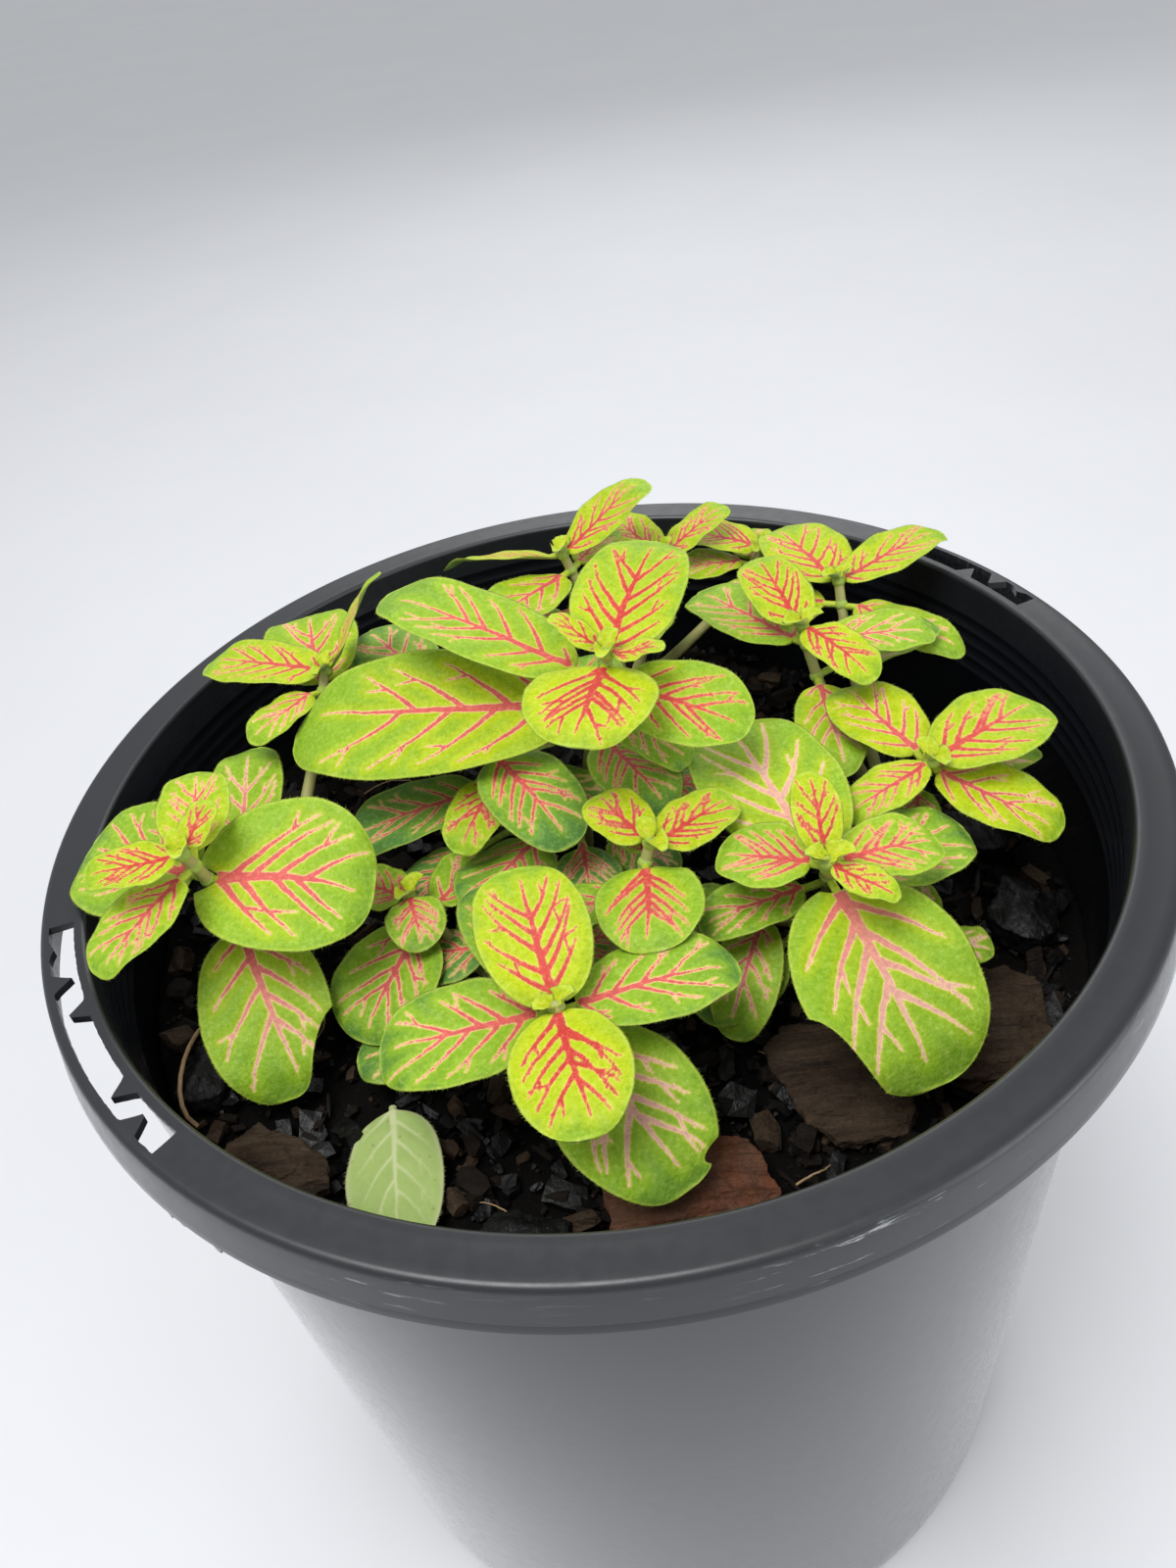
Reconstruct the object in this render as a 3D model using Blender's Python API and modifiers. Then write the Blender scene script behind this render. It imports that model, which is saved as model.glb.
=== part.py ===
"""A nerve plant in a nursery pot: six rooted cuttings with opposite leaf pairs,
planted in a bark and charcoal mix. Metres, +Z up, origin at the centre of the pot's base."""

import math

import bmesh
import bpy
from mathutils import Matrix, Vector

MM = 0.001

# Pot. Radii are outside ones unless they say otherwise.
POT_HEIGHT = 197 * MM
BASE_RADIUS = 87.5 * MM
NECK_RADIUS = 93.6 * MM
WALL = 1.5 * MM
BASE_THICKNESS = 2.0 * MM
BASE_ROUND = 4.0 * MM
RIM_OVERHANG = 7.7 * MM
RIM_RADIUS = NECK_RADIUS + RIM_OVERHANG
RIM_DRAFT = 1.3 * MM
RIM_THICKNESS = 1.5 * MM
RIM_ROUND = 1.5 * MM
SKIRT_DEPTH = 8.7 * MM
MOUTH_ROUND = 0.9 * MM
POT_SEGMENTS = 64

# Two slots through the flat of the rim, for a hanger or a label: middle and arc of each.
SLOTS = ((209, 33), (29, 24))
SLOT_MARGIN = 0.4 * MM
SLOT_TEETH = (0.25, 0.4, 0.88, 0.76)
TOOTH_HEIGHT = 3.2 * MM
TOOTH_ARC = 2.4

DRAIN_HOLES = 8
DRAIN_RADIUS = 6.0 * MM
DRAIN_CIRCLE = 64 * MM

# Potting mix and what lies on it. Depths are below the rim.
MIX_DEPTH = 35 * MM
MIX_TILT = 0.05
MIX_SWELL = 1.4 * MM
SEAT = 0.3 * MM
PLANTING_DEPTH = 8 * MM
PLANTING_CLEARANCE = 1.2 * MM

# The plant fills the pot: its table is in millimetres for this inner radius of the
# wall at the mix, heights are from the rim, and it grows or shrinks with that radius.
TABLE_WALL = 91.0228 * MM
STEM_FOOT_RADIUS = 1.7 * MM
STEM_TOP_RADIUS = 1.1 * MM
STEM_POINTS = 9
FORK_TAPER = 0.4
COLLAR_WALL = 0.9 * MM
COLLAR_HEIGHT = 1.8 * MM
COLLAR_GAP = 0.35 * MM
COLLAR_SIDES = 8
LEAF_THICKNESS = 0.6 * MM
LEAF_CUP = 0.08
PETIOLE_WIDTH = 1.7 * MM
BLADE_STATIONS = (0.0, 0.1, 0.34, 0.64, 0.9, 1.0)

# Stems: plant, where it leaves the mix (x, y), and its top (x, y, height).
# The first stem of a plant is rooted; the others branch from it near the mix.
STEMS = {
    "front": ("front", (-12, -36), (-11, -54, -2)),
    "centre": ("front", (-12, -36), (8, -24, 1)),
    "dark": ("front", (-12, -36), (-37, -14, -12)),
    "crown": ("crown", (-4, 14), (6, 1, 23)),
    "midleft": ("crown", (-4, 14), (-18, 5, 2)),
    "mid": ("mid", (40, -18), (34, -39, 4)),
    "low": ("mid", (40, -18), (24, -32, -12)),
    "seedling": ("mid", (40, -18), (54, -36, -22)),
    "left": ("left", (-65, -10), (-69, -21, 12)),
    "nw": ("left", (-65, -10), (-50, 34, 8)),
    "east": ("east", (58, 10), (59, -15, 0)),
    "ne": ("east", (58, 10), (44, 19, 10)),
    "farright": ("east", (58, 10), (57, 41, 5)),
    "far": ("back", (14, 52), (1, 58, 12)),
    "farmid": ("back", (14, 52), (23, 62, 6)),
    "farcentre": ("back", (14, 52), (46, 62, 3)),
}

# Leaf pairs: stem, order from its top, drop below the top, and two leaves.
# A leaf is (heading, rise, arch, petiole, length, width, roll): degrees and millimetres.
PAIRS = (
    ("front", 1, 1.5, (100, 20, 10, 2, 21, 18, 0), (275, 2, 20, 2, 19, 18, 0)),
    ("front", 2, 6, (5, 4, 10, 3, 24, 17, 0), (183, -4, 10, 3, 24, 20, 0)),
    ("front", 3, 12, (299, -16, 20, 5, 26, 24, 0), (112, 4, 10, 5, 26, 14, 0)),
    ("crown", 1, 1, (150, 35, 10, 1, 9, 6, 0), (335, 20, 10, 1, 8, 6, 0)),
    ("crown", 2, 3.5, (64, 16, 10, 2, 27, 21, 0), (251, -2, 20, 1, 18, 23, 0)),
    ("crown", 3, 9, (328, -4, 10, 3, 23, 18, 15), (146, 14, 10, 8, 37, 19, 0)),
    ("crown", 4, 15, (168, -4, 10, 7, 52, 27, -20), (320, -20, 20, 4, 14, 12, 0)),
    ("crown", 5, 22, (295, -7, 20, 4, 18, 15, 0), (92, -6, 10, 4, 24, 18, 0)),
    ("mid", 1, 1, (92, 40, 10, 1, 12, 8, 0), (310, 0, 10, 1, 10, 6, 0)),
    ("mid", 2, 3.5, (155, -2, 10, 2, 14, 15, 0), (6, -1, 10, 2, 15, 14, 0)),
    ("mid", 3, 10, (103, 5, 15, 4, 35, 25, 0), (284, -22, 30, 4, 31, 29, 0)),
    ("mid", 4, 14, (12, 2, 10, 6, 18, 18, 0), (190, -5, 10, 5, 16, 12, 0)),
    ("centre", 1, 1, (121, 10, 10, 1, 12, 10, 0), (19, 12, 10, 1, 14, 12, 0)),
    ("centre", 2, 5, (263, -2, 15, 2, 15, 17, 0), (83, 8, 10, 2, 8, 8, 0)),
    ("centre", 3, 11, (195, -1, 10, 3, 14, 11, 0), (340, -16, 10, 3, 10, 9, 0)),
    ("left", 1, 1, (193, 8, 10, 1, 13, 11, 0), (56, 30, 10, 1, 7, 7, 0)),
    ("left", 2, 5, (228, -10, 10, 3, 18, 13, 0), (95, 10, 10, 3, 17, 13, 0)),
    ("left", 3, 10, (150, 0, 10, 3, 23, 23, -15), (352, -8, 15, 1, 25, 28, 22)),
    ("left", 4, 22, (283, -30, 20, 5, 28, 22, 0), (91, 8, 10, 14, 26, 15, 0)),
    ("nw", 1, 1, (160, 3, 10, 2, 23, 15, 0), (45, 42, 10, 2, 20, 9, -38)),
    ("nw", 2, 5, (99, 5, 15, 5, 24, 20, 0), (225, -4, 15, 3, 14, 10, 0)),
    ("east", 1, 1, (18, 7, 10, 2, 20, 18, 0), (200, -12, 10, 2, 15, 10, 0)),
    ("east", 2, 4, (112, 6, 10, 3, 20, 16, 0), (315, -7, 10, 2, 21, 15, 0)),
    ("east", 3, 10, (5, 0, 10, 4, 17, 12, 0), (250, -20, 10, 3, 12, 9, 0)),
    ("ne", 1, 1, (106, 18, 10, 2, 17, 13, 0), (300, -10, 10, 2, 15, 11, 0)),
    ("ne", 2, 5, (350, 3, 10, 3, 19, 14, 0), (125, 2, 10, 3, 26, 16, 0)),
    ("ne", 3, 12, (16, 7, 10, 5, 20, 13, 0), (266, -10, 15, 4, 20, 13, 0)),
    ("farright", 1, 1, (16, 12, 10, 2, 21, 13, 0), (105, 6, 10, 2, 22, 18, 0)),
    ("farright", 2, 6, (312, -6, 10, 4, 22, 12, 0), (155, 4, 10, 4, 22, 12, 0)),
    ("far", 1, 1, (20, 28, 10, 2, 20, 14, 0), (160, -4, 10, 2, 24, 13, 24)),
    ("far", 2, 5, (222, 0, 10, 3, 24, 17, 0), (45, 10, 10, 2, 12, 9, 0)),
    ("farmid", 1, 1, (124, 12, 10, 2, 14, 12, 0), (24, 22, 10, 2, 15, 10, 0)),
    ("farmid", 2, 9, (250, -5, 10, 3, 16, 12, 0), (70, 0, 10, 3, 12, 10, 0)),
    ("farcentre", 1, 1, (150, 6, 10, 2, 18, 13, 0), (330, 4, 10, 2, 10, 8, 0)),
    ("farcentre", 2, 5, (178, 0, 10, 3, 15, 12, 0), (80, 4, 10, 3, 12, 10, 0)),
    ("dark", 1, 1, (142, 0, 10, 1, 12, 11, 0), (288, -8, 10, 1, 11, 10, 0)),
    ("dark", 2, 6, (236, -18, 15, 3, 20, 20, 0), (50, 0, 10, 3, 15, 12, 0)),
    ("midleft", 1, 1, (298, -10, 15, 2, 22, 17, 0), (110, 4, 15, 6, 28, 20, 0)),
    ("midleft", 2, 5, (238, -12, 15, 2, 16, 12, 0), (45, -6, 15, 2, 14, 10, 0)),
    ("midleft", 3, 10, (183, -10, 15, 12, 24, 18, 0), (330, -8, 15, 3, 14, 11, 0)),
    ("low", 1, 2.4, (242, -30, 15, 2, 18, 12, 0), (160, -8, 10, 2, 13, 12, 0)),
    ("seedling", 1, 1, (110, 8, 10, 1, 10, 9, 0), (330, 0, 10, 1, 9, 8, 0)),
)

# Bark chips and charcoal lumps on the mix: x, y, heading, length, width, thickness.
CHIPS = {
    "bark_chip_right": (61, -46, 75, 26, 20, 5, "bark_brown"),
    "bark_chip_middle": (33, -53, 110, 26, 18, 4, "bark_dark"),
    "bark_chip_front": (4, -71, 5, 28, 18, 5, "bark_red"),
    "bark_chip_left": (-62, -55, 140, 20, 10, 4, "bark_brown"),
    "charcoal_right": (76, -22, 60, 15, 11, 7, "charcoal"),
    "charcoal_back": (76, 2, 100, 14, 10, 6, "charcoal"),
    "charcoal_left": (-76, -36, 70, 12, 9, 5, "charcoal"),
    "charcoal_front": (-22, -74, 160, 14, 9, 5, "charcoal"),
}

# A dropped leaf and a dry root fibre, both lying on the mix.
FALLEN_LEAF = (-43, -45, 274, -3, 6, 2, 26, 16, 0)
FALLEN_GAP = 0.6 * MM
FIBRE_ENDS = ((-73, -22), (-77, -44))
FIBRE_RISE = 8.0
FIBRE_RADIUS = 0.4 * MM
FIBRE_POINTS = 12

COLOURS = {
    "pot_plastic": ((0.035, 0.042, 0.055), 0.35),
    "potting_mix": ((0.030, 0.024, 0.020), 0.95),
    "bark_brown": ((0.120, 0.070, 0.045), 0.90),
    "bark_dark": ((0.070, 0.045, 0.032), 0.90),
    "bark_red": ((0.190, 0.080, 0.045), 0.90),
    "charcoal": ((0.018, 0.018, 0.020), 0.60),
    "leaf_lime": ((0.420, 0.600, 0.060), 0.45),
    "leaf_green": ((0.230, 0.420, 0.050), 0.45),
    "leaf_dark": ((0.080, 0.230, 0.060), 0.45),
    "leaf_dry": ((0.400, 0.480, 0.270), 0.60),
    "stem_green": ((0.360, 0.460, 0.160), 0.50),
    "root_tan": ((0.420, 0.270, 0.140), 0.80),
}
DARK_STEMS = ("dark", "midleft", "low")

inner_mouth = NECK_RADIUS - WALL


def wall_inside_at(height):
    """Inner radius of the pot's wall at this height."""
    low, high = BASE_THICKNESS + 1 * MM, POT_HEIGHT - MOUTH_ROUND
    share = (height - low) / (high - low)
    return BASE_RADIUS - WALL + (inner_mouth - BASE_RADIUS + WALL) * share


grow = wall_inside_at(POT_HEIGHT - MIX_DEPTH) / TABLE_WALL * MM


def clear_scene():
    for obj in list(bpy.data.objects):
        bpy.data.objects.remove(obj, do_unlink=True)


def new_collection(name):
    collection = bpy.data.collections.new(name)
    bpy.context.scene.collection.children.link(collection)
    return collection


def material(name):
    found = bpy.data.materials.get(name)
    if found:
        return found
    colour, roughness = COLOURS[name]
    made = bpy.data.materials.new(name)
    made.use_nodes = True
    shader = made.node_tree.nodes["Principled BSDF"]
    shader.inputs["Base Color"].default_value = (*colour, 1.0)
    shader.inputs["Roughness"].default_value = roughness
    shader.inputs["Metallic"].default_value = 0.0
    made.diffuse_color = (*colour, 1.0)
    return made


def add_object(name, data, collection, material_name=None):
    obj = bpy.data.objects.new(name, data)
    collection.objects.link(obj)
    if material_name:
        data.materials.append(material(material_name))
    return obj


def as_cutter(obj):
    obj.hide_render = True
    obj.display_type = "WIRE"
    return obj


def evaluated(obj):
    """The object's shape with its modifiers, as a mesh of its own, in world space."""
    graph = bpy.context.evaluated_depsgraph_get()
    mesh = bpy.data.meshes.new_from_object(obj.evaluated_get(graph))
    mesh.transform(obj.matrix_world)
    return mesh


def add_boolean(obj, operation, other):
    boolean = obj.modifiers.new(operation.title(), "BOOLEAN")
    boolean.operation = operation
    boolean.solver = "EXACT"
    boolean.object = other


def joined(name, pieces, collection, material_name):
    """One solid from overlapping pieces; the pieces themselves are removed."""
    first, rest = pieces[0], pieces[1:]
    for piece in rest:
        add_boolean(first, "UNION", piece)
    bpy.context.view_layer.update()
    mesh = evaluated(first)
    mesh.materials.clear()
    for piece in pieces:
        bpy.data.objects.remove(piece, do_unlink=True)
    mesh.shade_smooth()
    mesh.set_sharp_from_angle(angle=math.radians(40))
    return add_object(name, mesh, collection, material_name)


def turned(name, profile, steps, collection, material_name=None, closed=False):
    """A profile of (radius, height) points turned about Z."""
    count = len(profile)
    edges = [(i, i + 1) for i in range(count - 1)]
    if closed:
        edges.append((count - 1, 0))
    mesh = bpy.data.meshes.new(name)
    mesh.from_pydata([(radius, 0, height) for radius, height in profile], edges, [])
    obj = add_object(name, mesh, collection, material_name)
    screw = obj.modifiers.new("Turn", "SCREW")
    screw.steps = steps
    screw.render_steps = steps
    screw.use_merge_vertices = True
    screw.merge_threshold = 0.00001
    screw.use_smooth_shade = True
    return obj


def corner(centre_radius, centre_height, radius, start, end, steps=3):
    """Points round a corner of the profile, from one angle to another in degrees."""
    angles = [math.radians(start + (end - start) * i / steps) for i in range(steps + 1)]
    return [
        (centre_radius + radius * math.cos(a), centre_height + radius * math.sin(a))
        for a in angles
    ]


def pot_profile():
    """From the middle of the floor up the inside, over the rim and down the outside."""
    top = POT_HEIGHT
    edge = RIM_RADIUS - RIM_DRAFT
    skirt_bottom = top - SKIRT_DEPTH
    wall_inside = edge - WALL
    points = [(0, BASE_THICKNESS), (BASE_RADIUS - WALL - 1 * MM, BASE_THICKNESS)]
    points += [(BASE_RADIUS - WALL, BASE_THICKNESS + 1 * MM)]
    points += [(inner_mouth, top - MOUTH_ROUND)]
    points += [(inner_mouth + MOUTH_ROUND, top)]
    points += corner(edge - RIM_ROUND, top - RIM_ROUND, RIM_ROUND, 90, 0)
    points += [(RIM_RADIUS, skirt_bottom), (RIM_RADIUS - WALL, skirt_bottom)]
    points += [(wall_inside, top - RIM_THICKNESS)]
    points += [(NECK_RADIUS, top - RIM_THICKNESS)]
    points += corner(BASE_RADIUS - BASE_ROUND, BASE_ROUND, BASE_ROUND, 0, -90)
    points += [(0, 0)]
    return points


def polar(radius, degrees, height=0.0):
    angle = math.radians(degrees)
    return Vector((radius * math.cos(angle), radius * math.sin(angle), height))


def slot_cutter(name, middle, arc, collection):
    """A curved slot through the rim, with pointed teeth left standing on both its sides."""
    inner = NECK_RADIUS + SLOT_MARGIN
    outer = RIM_RADIUS - RIM_DRAFT - WALL - SLOT_MARGIN / 2
    start = middle - arc / 2
    steps = 16
    outer_teeth = SLOT_TEETH[0::2]
    inner_teeth = SLOT_TEETH[1::2]

    def side(radius, teeth, reach):
        angles = [(i / steps, 0.0) for i in range(steps + 1)]
        half = TOOTH_ARC / arc / 2
        angles = [a for a in angles if all(abs(a[0] - t) > half * 1.05 for t in teeth)]
        for tooth in teeth:
            angles += [(tooth - half, 0.0), (tooth, reach), (tooth + half, 0.0)]
        return [polar(radius + d, start + arc * s) for s, d in sorted(angles)]

    outline = side(outer, outer_teeth, -TOOTH_HEIGHT)
    outline += list(reversed(side(inner, inner_teeth, TOOTH_HEIGHT)))
    shape = bmesh.new()
    depth = RIM_THICKNESS * 3
    lift = Vector((0, 0, POT_HEIGHT - RIM_THICKNESS * 2))
    face = shape.faces.new([shape.verts.new(p + lift) for p in outline])
    raised = bmesh.ops.extrude_face_region(shape, geom=[face])["geom"]
    tops = [v for v in raised if isinstance(v, bmesh.types.BMVert)]
    bmesh.ops.translate(shape, verts=tops, vec=(0, 0, depth))
    bmesh.ops.triangulate(shape, faces=shape.faces[:])
    bmesh.ops.recalc_face_normals(shape, faces=shape.faces[:])
    mesh = bpy.data.meshes.new(name)
    shape.to_mesh(mesh)
    shape.free()
    return as_cutter(add_object(name, mesh, collection))


def cylinders(name, places, radius, depth, segments, collection):
    """Upright cylinders at several places, as one cutter; each place is its middle."""
    shape = bmesh.new()
    for place in places:
        bmesh.ops.create_cone(
            shape, cap_ends=True, segments=segments, radius1=radius, radius2=radius,
            depth=depth, matrix=Matrix.Translation(place),
        )
    mesh = bpy.data.meshes.new(name)
    shape.to_mesh(mesh)
    shape.free()
    return as_cutter(add_object(name, mesh, collection))


def make_pot(parts, cutters):
    pot = turned("pot", pot_profile(), POT_SEGMENTS, parts, "pot_plastic")
    for number, (middle, arc) in enumerate(SLOTS, 1):
        add_boolean(pot, "DIFFERENCE", slot_cutter(f"slot_{number}", middle, arc, cutters))
    around = [polar(DRAIN_CIRCLE, 360 * i / DRAIN_HOLES + 22.5) for i in range(DRAIN_HOLES)]
    drains = cylinders("drains", around, DRAIN_RADIUS, BASE_THICKNESS * 4, 16, cutters)
    add_boolean(pot, "DIFFERENCE", drains)
    return pot


def mix_height(x, y):
    """Top of the potting mix: it slopes a little, with low swells."""
    swell = math.sin(x / (17 * MM)) + math.cos(y / (14 * MM) + 0.7)
    return POT_HEIGHT - MIX_DEPTH - MIX_TILT * x + MIX_SWELL * swell / 2


def make_mix(parts, cutters):
    """The mix fills the pot to below the rim, with a planting hole for each cutting."""
    top = POT_HEIGHT - MIX_DEPTH
    bottom = BASE_THICKNESS + SEAT
    foot_radius = BASE_RADIUS - WALL - 1 * MM - SEAT
    low_edge = top - 2 * MIX_SWELL - MIX_TILT * inner_mouth
    edge = wall_inside_at(low_edge) - 2 * SEAT
    rings = 8
    profile = [(edge * i / rings, top) for i in range(rings + 1)]
    profile += [(edge, low_edge), (foot_radius, bottom + 1 * MM)]
    profile += [(foot_radius - 1 * MM, bottom), (0, bottom)]
    blank = turned("mix_blank", profile, 36, cutters)
    bpy.context.view_layer.update()
    mesh = evaluated(blank)
    bpy.data.objects.remove(blank, do_unlink=True)
    for vertex in mesh.vertices:
        if vertex.co.z > top - MIX_SWELL:
            vertex.co.z = mix_height(vertex.co.x, vertex.co.y)
    mix = add_object("potting_mix", mesh, parts, "potting_mix")
    feet = {}
    for plant, foot, _ in STEMS.values():
        feet.setdefault(plant, Vector((foot[0] * grow, foot[1] * grow, 0)))
    holes = [f + Vector((0, 0, mix_height(f.x, f.y))) for f in feet.values()]
    radius = STEM_FOOT_RADIUS + PLANTING_CLEARANCE * grow / MM
    deep = 2 * (PLANTING_DEPTH + SEAT * 2)
    add_boolean(mix, "DIFFERENCE", cylinders("planting_holes", holes, radius, deep, 16, cutters))
    return mix


def smooth_run(start, start_way, end, end_way, count):
    """Points along a curve that leaves and arrives in the given directions."""
    points = []
    for i in range(count):
        t = i / (count - 1)
        points.append(
            start * (2 * t**3 - 3 * t**2 + 1) + start_way * (t**3 - 2 * t**2 + t)
            + end * (3 * t**2 - 2 * t**3) + end_way * (t**3 - t**2)
        )
    return points


def stem_routes():
    """The centre line of every stem, from its foot or its fork to its top."""
    routes = {}
    trunks = {}
    for name, (plant, foot, top) in STEMS.items():
        x, y = foot[0] * grow, foot[1] * grow
        end = Vector((top[0] * grow, top[1] * grow, POT_HEIGHT + top[2] * grow))
        ground = mix_height(x, y)
        across = Vector((end.x - x, end.y - y, 0))
        if is_trunk(name):
            start = Vector((x, y, ground - PLANTING_DEPTH))
            climb = Vector((0, 0, (end.z - start.z) * 1.1))
            arrive = across * 0.9 + Vector((0, 0, (end.z - start.z) * 0.7))
            routes[name] = smooth_run(start, climb, end, arrive, STEM_POINTS)
            trunks[plant] = routes[name]
            continue
        trunk = trunks[plant]
        fork = trunk[2] + (trunk[3] - trunk[2]) * 0.5
        leave = across * 1.0 + Vector((0, 0, (end.z - fork.z) * 0.5))
        arrive = across * 0.5 + Vector((0, 0, (end.z - fork.z) * 1.2))
        routes[name] = smooth_run(fork, leave, end, arrive, STEM_POINTS)
    return routes


def is_trunk(stem):
    """Whether this is the rooted stem of its plant, not a branch."""
    plant = STEMS[stem][0]
    return stem == next(name for name, row in STEMS.items() if row[0] == plant)


def stem_radius(stem, share):
    """A stem thins towards its top; a branch starts as thin as its fork."""
    if not is_trunk(stem):
        share = FORK_TAPER + (1 - FORK_TAPER) * share
    return STEM_FOOT_RADIUS + (STEM_TOP_RADIUS - STEM_FOOT_RADIUS) * share


def tube(name, points, radii, collection):
    """A round wire through the points, as a closed mesh."""
    curve = bpy.data.curves.new(name, "CURVE")
    curve.dimensions = "3D"
    curve.bevel_depth = 1.0
    curve.bevel_resolution = 2
    curve.use_fill_caps = True
    spline = curve.splines.new("POLY")
    spline.points.add(len(points) - 1)
    for point, place, radius in zip(spline.points, points, radii):
        point.co = (*place, 1.0)
        point.radius = radius
    wire = add_object(name + "_curve", curve, collection)
    bpy.context.view_layer.update()
    mesh = evaluated(wire)
    bpy.data.objects.remove(wire, do_unlink=True)
    welded = bmesh.new()
    welded.from_mesh(mesh)
    bmesh.ops.remove_doubles(welded, verts=welded.verts[:], dist=0.00001)
    welded.to_mesh(mesh)
    welded.free()
    return add_object(name, mesh, collection)


def make_stems(routes, parts, cutters):
    plants = {}
    for name, (plant, _, _) in STEMS.items():
        points = routes[name]
        radii = [stem_radius(name, i / (len(points) - 1)) for i in range(len(points))]
        plants.setdefault(plant, []).append(tube(f"{name}_run", points, radii, cutters))
    for plant, pieces in plants.items():
        joined(f"stem_{plant}", pieces, parts, "stem_green")


def below_top(points, drop):
    """The point this far back along a route from its end, its direction and its share."""
    left = drop
    for i in range(len(points) - 1, 0, -1):
        step = points[i] - points[i - 1]
        if left <= step.length:
            share = (i - left / step.length) / (len(points) - 1)
            return points[i] - step * (left / step.length), step.normalized(), share
        left -= step.length
    raise ValueError("the leaf pair is lower than its stem")


def blade(name, root, offset, leaf, collection):
    """A leaf on its petiole: a strip that arches, widens into the blade and is thickened."""
    heading, rise, arch, petiole, length, width, roll = leaf
    petiole, length, half = petiole * grow, length * grow, width * grow / 2
    turn = math.radians(heading)
    out = Vector((math.cos(turn), math.sin(turn), 0))
    aside = Vector((-math.sin(turn), math.cos(turn), 0))
    first, bend = math.radians(rise + arch / 2), math.radians(arch)
    lean = math.radians(roll)
    reach = petiole + length
    rows = len(BLADE_STATIONS) + 1
    shape = bmesh.new()
    bmesh.ops.create_grid(shape, x_segments=2, y_segments=rows - 1, size=1)
    for vertex in shape.verts:
        across = vertex.co.x
        row = round((vertex.co.y + 1) / 2 * (rows - 1))
        station = BLADE_STATIONS[row - 1] if row else 0.0
        share = (petiole + length * station) / reach if row else 0.0
        wide = half * math.sqrt(4 * station * (1 - station)) if row else 0.0
        wide = max(wide, half * 0.2 if station == 1 else PETIOLE_WIDTH / 2)
        angle = first - bend * share
        along = reach * (math.sin(first) - math.sin(angle)) / bend
        up = reach * (math.cos(angle) - math.cos(first)) / bend
        normal = Vector((0, 0, math.cos(angle))) - out * math.sin(angle)
        side = aside * math.cos(lean) + normal * math.sin(lean)
        normal = normal * math.cos(lean) - aside * math.sin(lean)
        vertex.co = root + offset + out * along + Vector((0, 0, up))
        vertex.co += side * (across * wide) + normal * (abs(across) * wide * LEAF_CUP)
    mesh = bpy.data.meshes.new(name)
    shape.to_mesh(mesh)
    shape.free()
    leaf_object = add_object(name, mesh, collection)
    solidify = leaf_object.modifiers.new("Thickness", "SOLIDIFY")
    solidify.thickness = LEAF_THICKNESS
    solidify.offset = 0
    bpy.context.view_layer.update()
    solid = evaluated(leaf_object)
    bpy.data.objects.remove(leaf_object, do_unlink=True)
    return add_object(name, solid, collection)


def make_pair(stem, number, drop, leaves, routes, parts, cutters):
    """Two opposite leaves joined by the collar that wraps their stem."""
    place, way, share = below_top(routes[stem], drop * grow)
    inner = (stem_radius(stem, share) + COLLAR_GAP) / math.cos(math.pi / COLLAR_SIDES)
    outer = inner + COLLAR_WALL
    half = COLLAR_HEIGHT / 2
    ring = [(inner, -half), (inner, half), (outer, half), (outer, -half)]
    collar = turned("collar", ring, COLLAR_SIDES, cutters, closed=True)
    upright = way.to_track_quat("Z", "Y").to_matrix().to_4x4()
    collar.matrix_world = Matrix.Translation(place) @ upright
    pieces = [collar]
    for leaf in leaves:
        heading, rise = math.radians(leaf[0]), math.radians(leaf[1] + leaf[2] / 2)
        ahead = Vector((math.cos(heading), math.sin(heading), math.tan(rise))).normalized()
        outward = (ahead - way * ahead.dot(way)).normalized()
        offset = outward * (inner + COLLAR_WALL * 0.45)
        pieces.append(blade(f"blade_{len(pieces)}", place, offset, leaf, cutters))
    if stem in DARK_STEMS:
        colour = "leaf_dark"
    else:
        colour = "leaf_lime" if number < 3 else "leaf_green"
    return joined(f"leaf_pair_{stem}_{number}", pieces, parts, colour)


def make_chip(name, place, parts):
    x, y, heading, length, width, thick, colour = place
    x, y, length, width, thick = (v * grow for v in (x, y, length, width, thick))
    turn = math.radians(heading)
    shape = bmesh.new()
    bmesh.ops.create_cube(shape, size=1)
    bmesh.ops.subdivide_edges(shape, edges=shape.edges[:], cuts=2, use_grid_fill=True)
    for vertex in shape.verts:
        u, v, w = vertex.co * 2
        rounding = 1 - 0.16 * (u * v) ** 2
        ragged = 1 + 0.09 * math.sin(5 * u + 3 * v + x / MM) + 0.05 * math.cos(7 * v - u)
        domed = 1 - 0.35 * max(abs(u), abs(v)) ** 3 if w > 0 else 1
        vertex.co.x = u / 2 * length * rounding * ragged
        vertex.co.y = v / 2 * width * rounding * ragged
        vertex.co.z = thick * (w + 1) / 2 * domed
    spin = Matrix.Rotation(turn, 4, "Z")
    tilt = Matrix.Rotation(math.atan(MIX_TILT), 4, "Y")
    bmesh.ops.transform(shape, matrix=tilt @ spin, verts=shape.verts[:])
    below = [v.co for v in shape.verts if v.co.z < thick / 2]
    rest = max(mix_height(x + p.x, y + p.y) - p.z for p in below)
    bmesh.ops.translate(shape, verts=shape.verts[:], vec=(x, y, rest + SEAT))
    mesh = bpy.data.meshes.new(name)
    shape.to_mesh(mesh)
    shape.free()
    return add_object(name, mesh, parts, colour)


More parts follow.
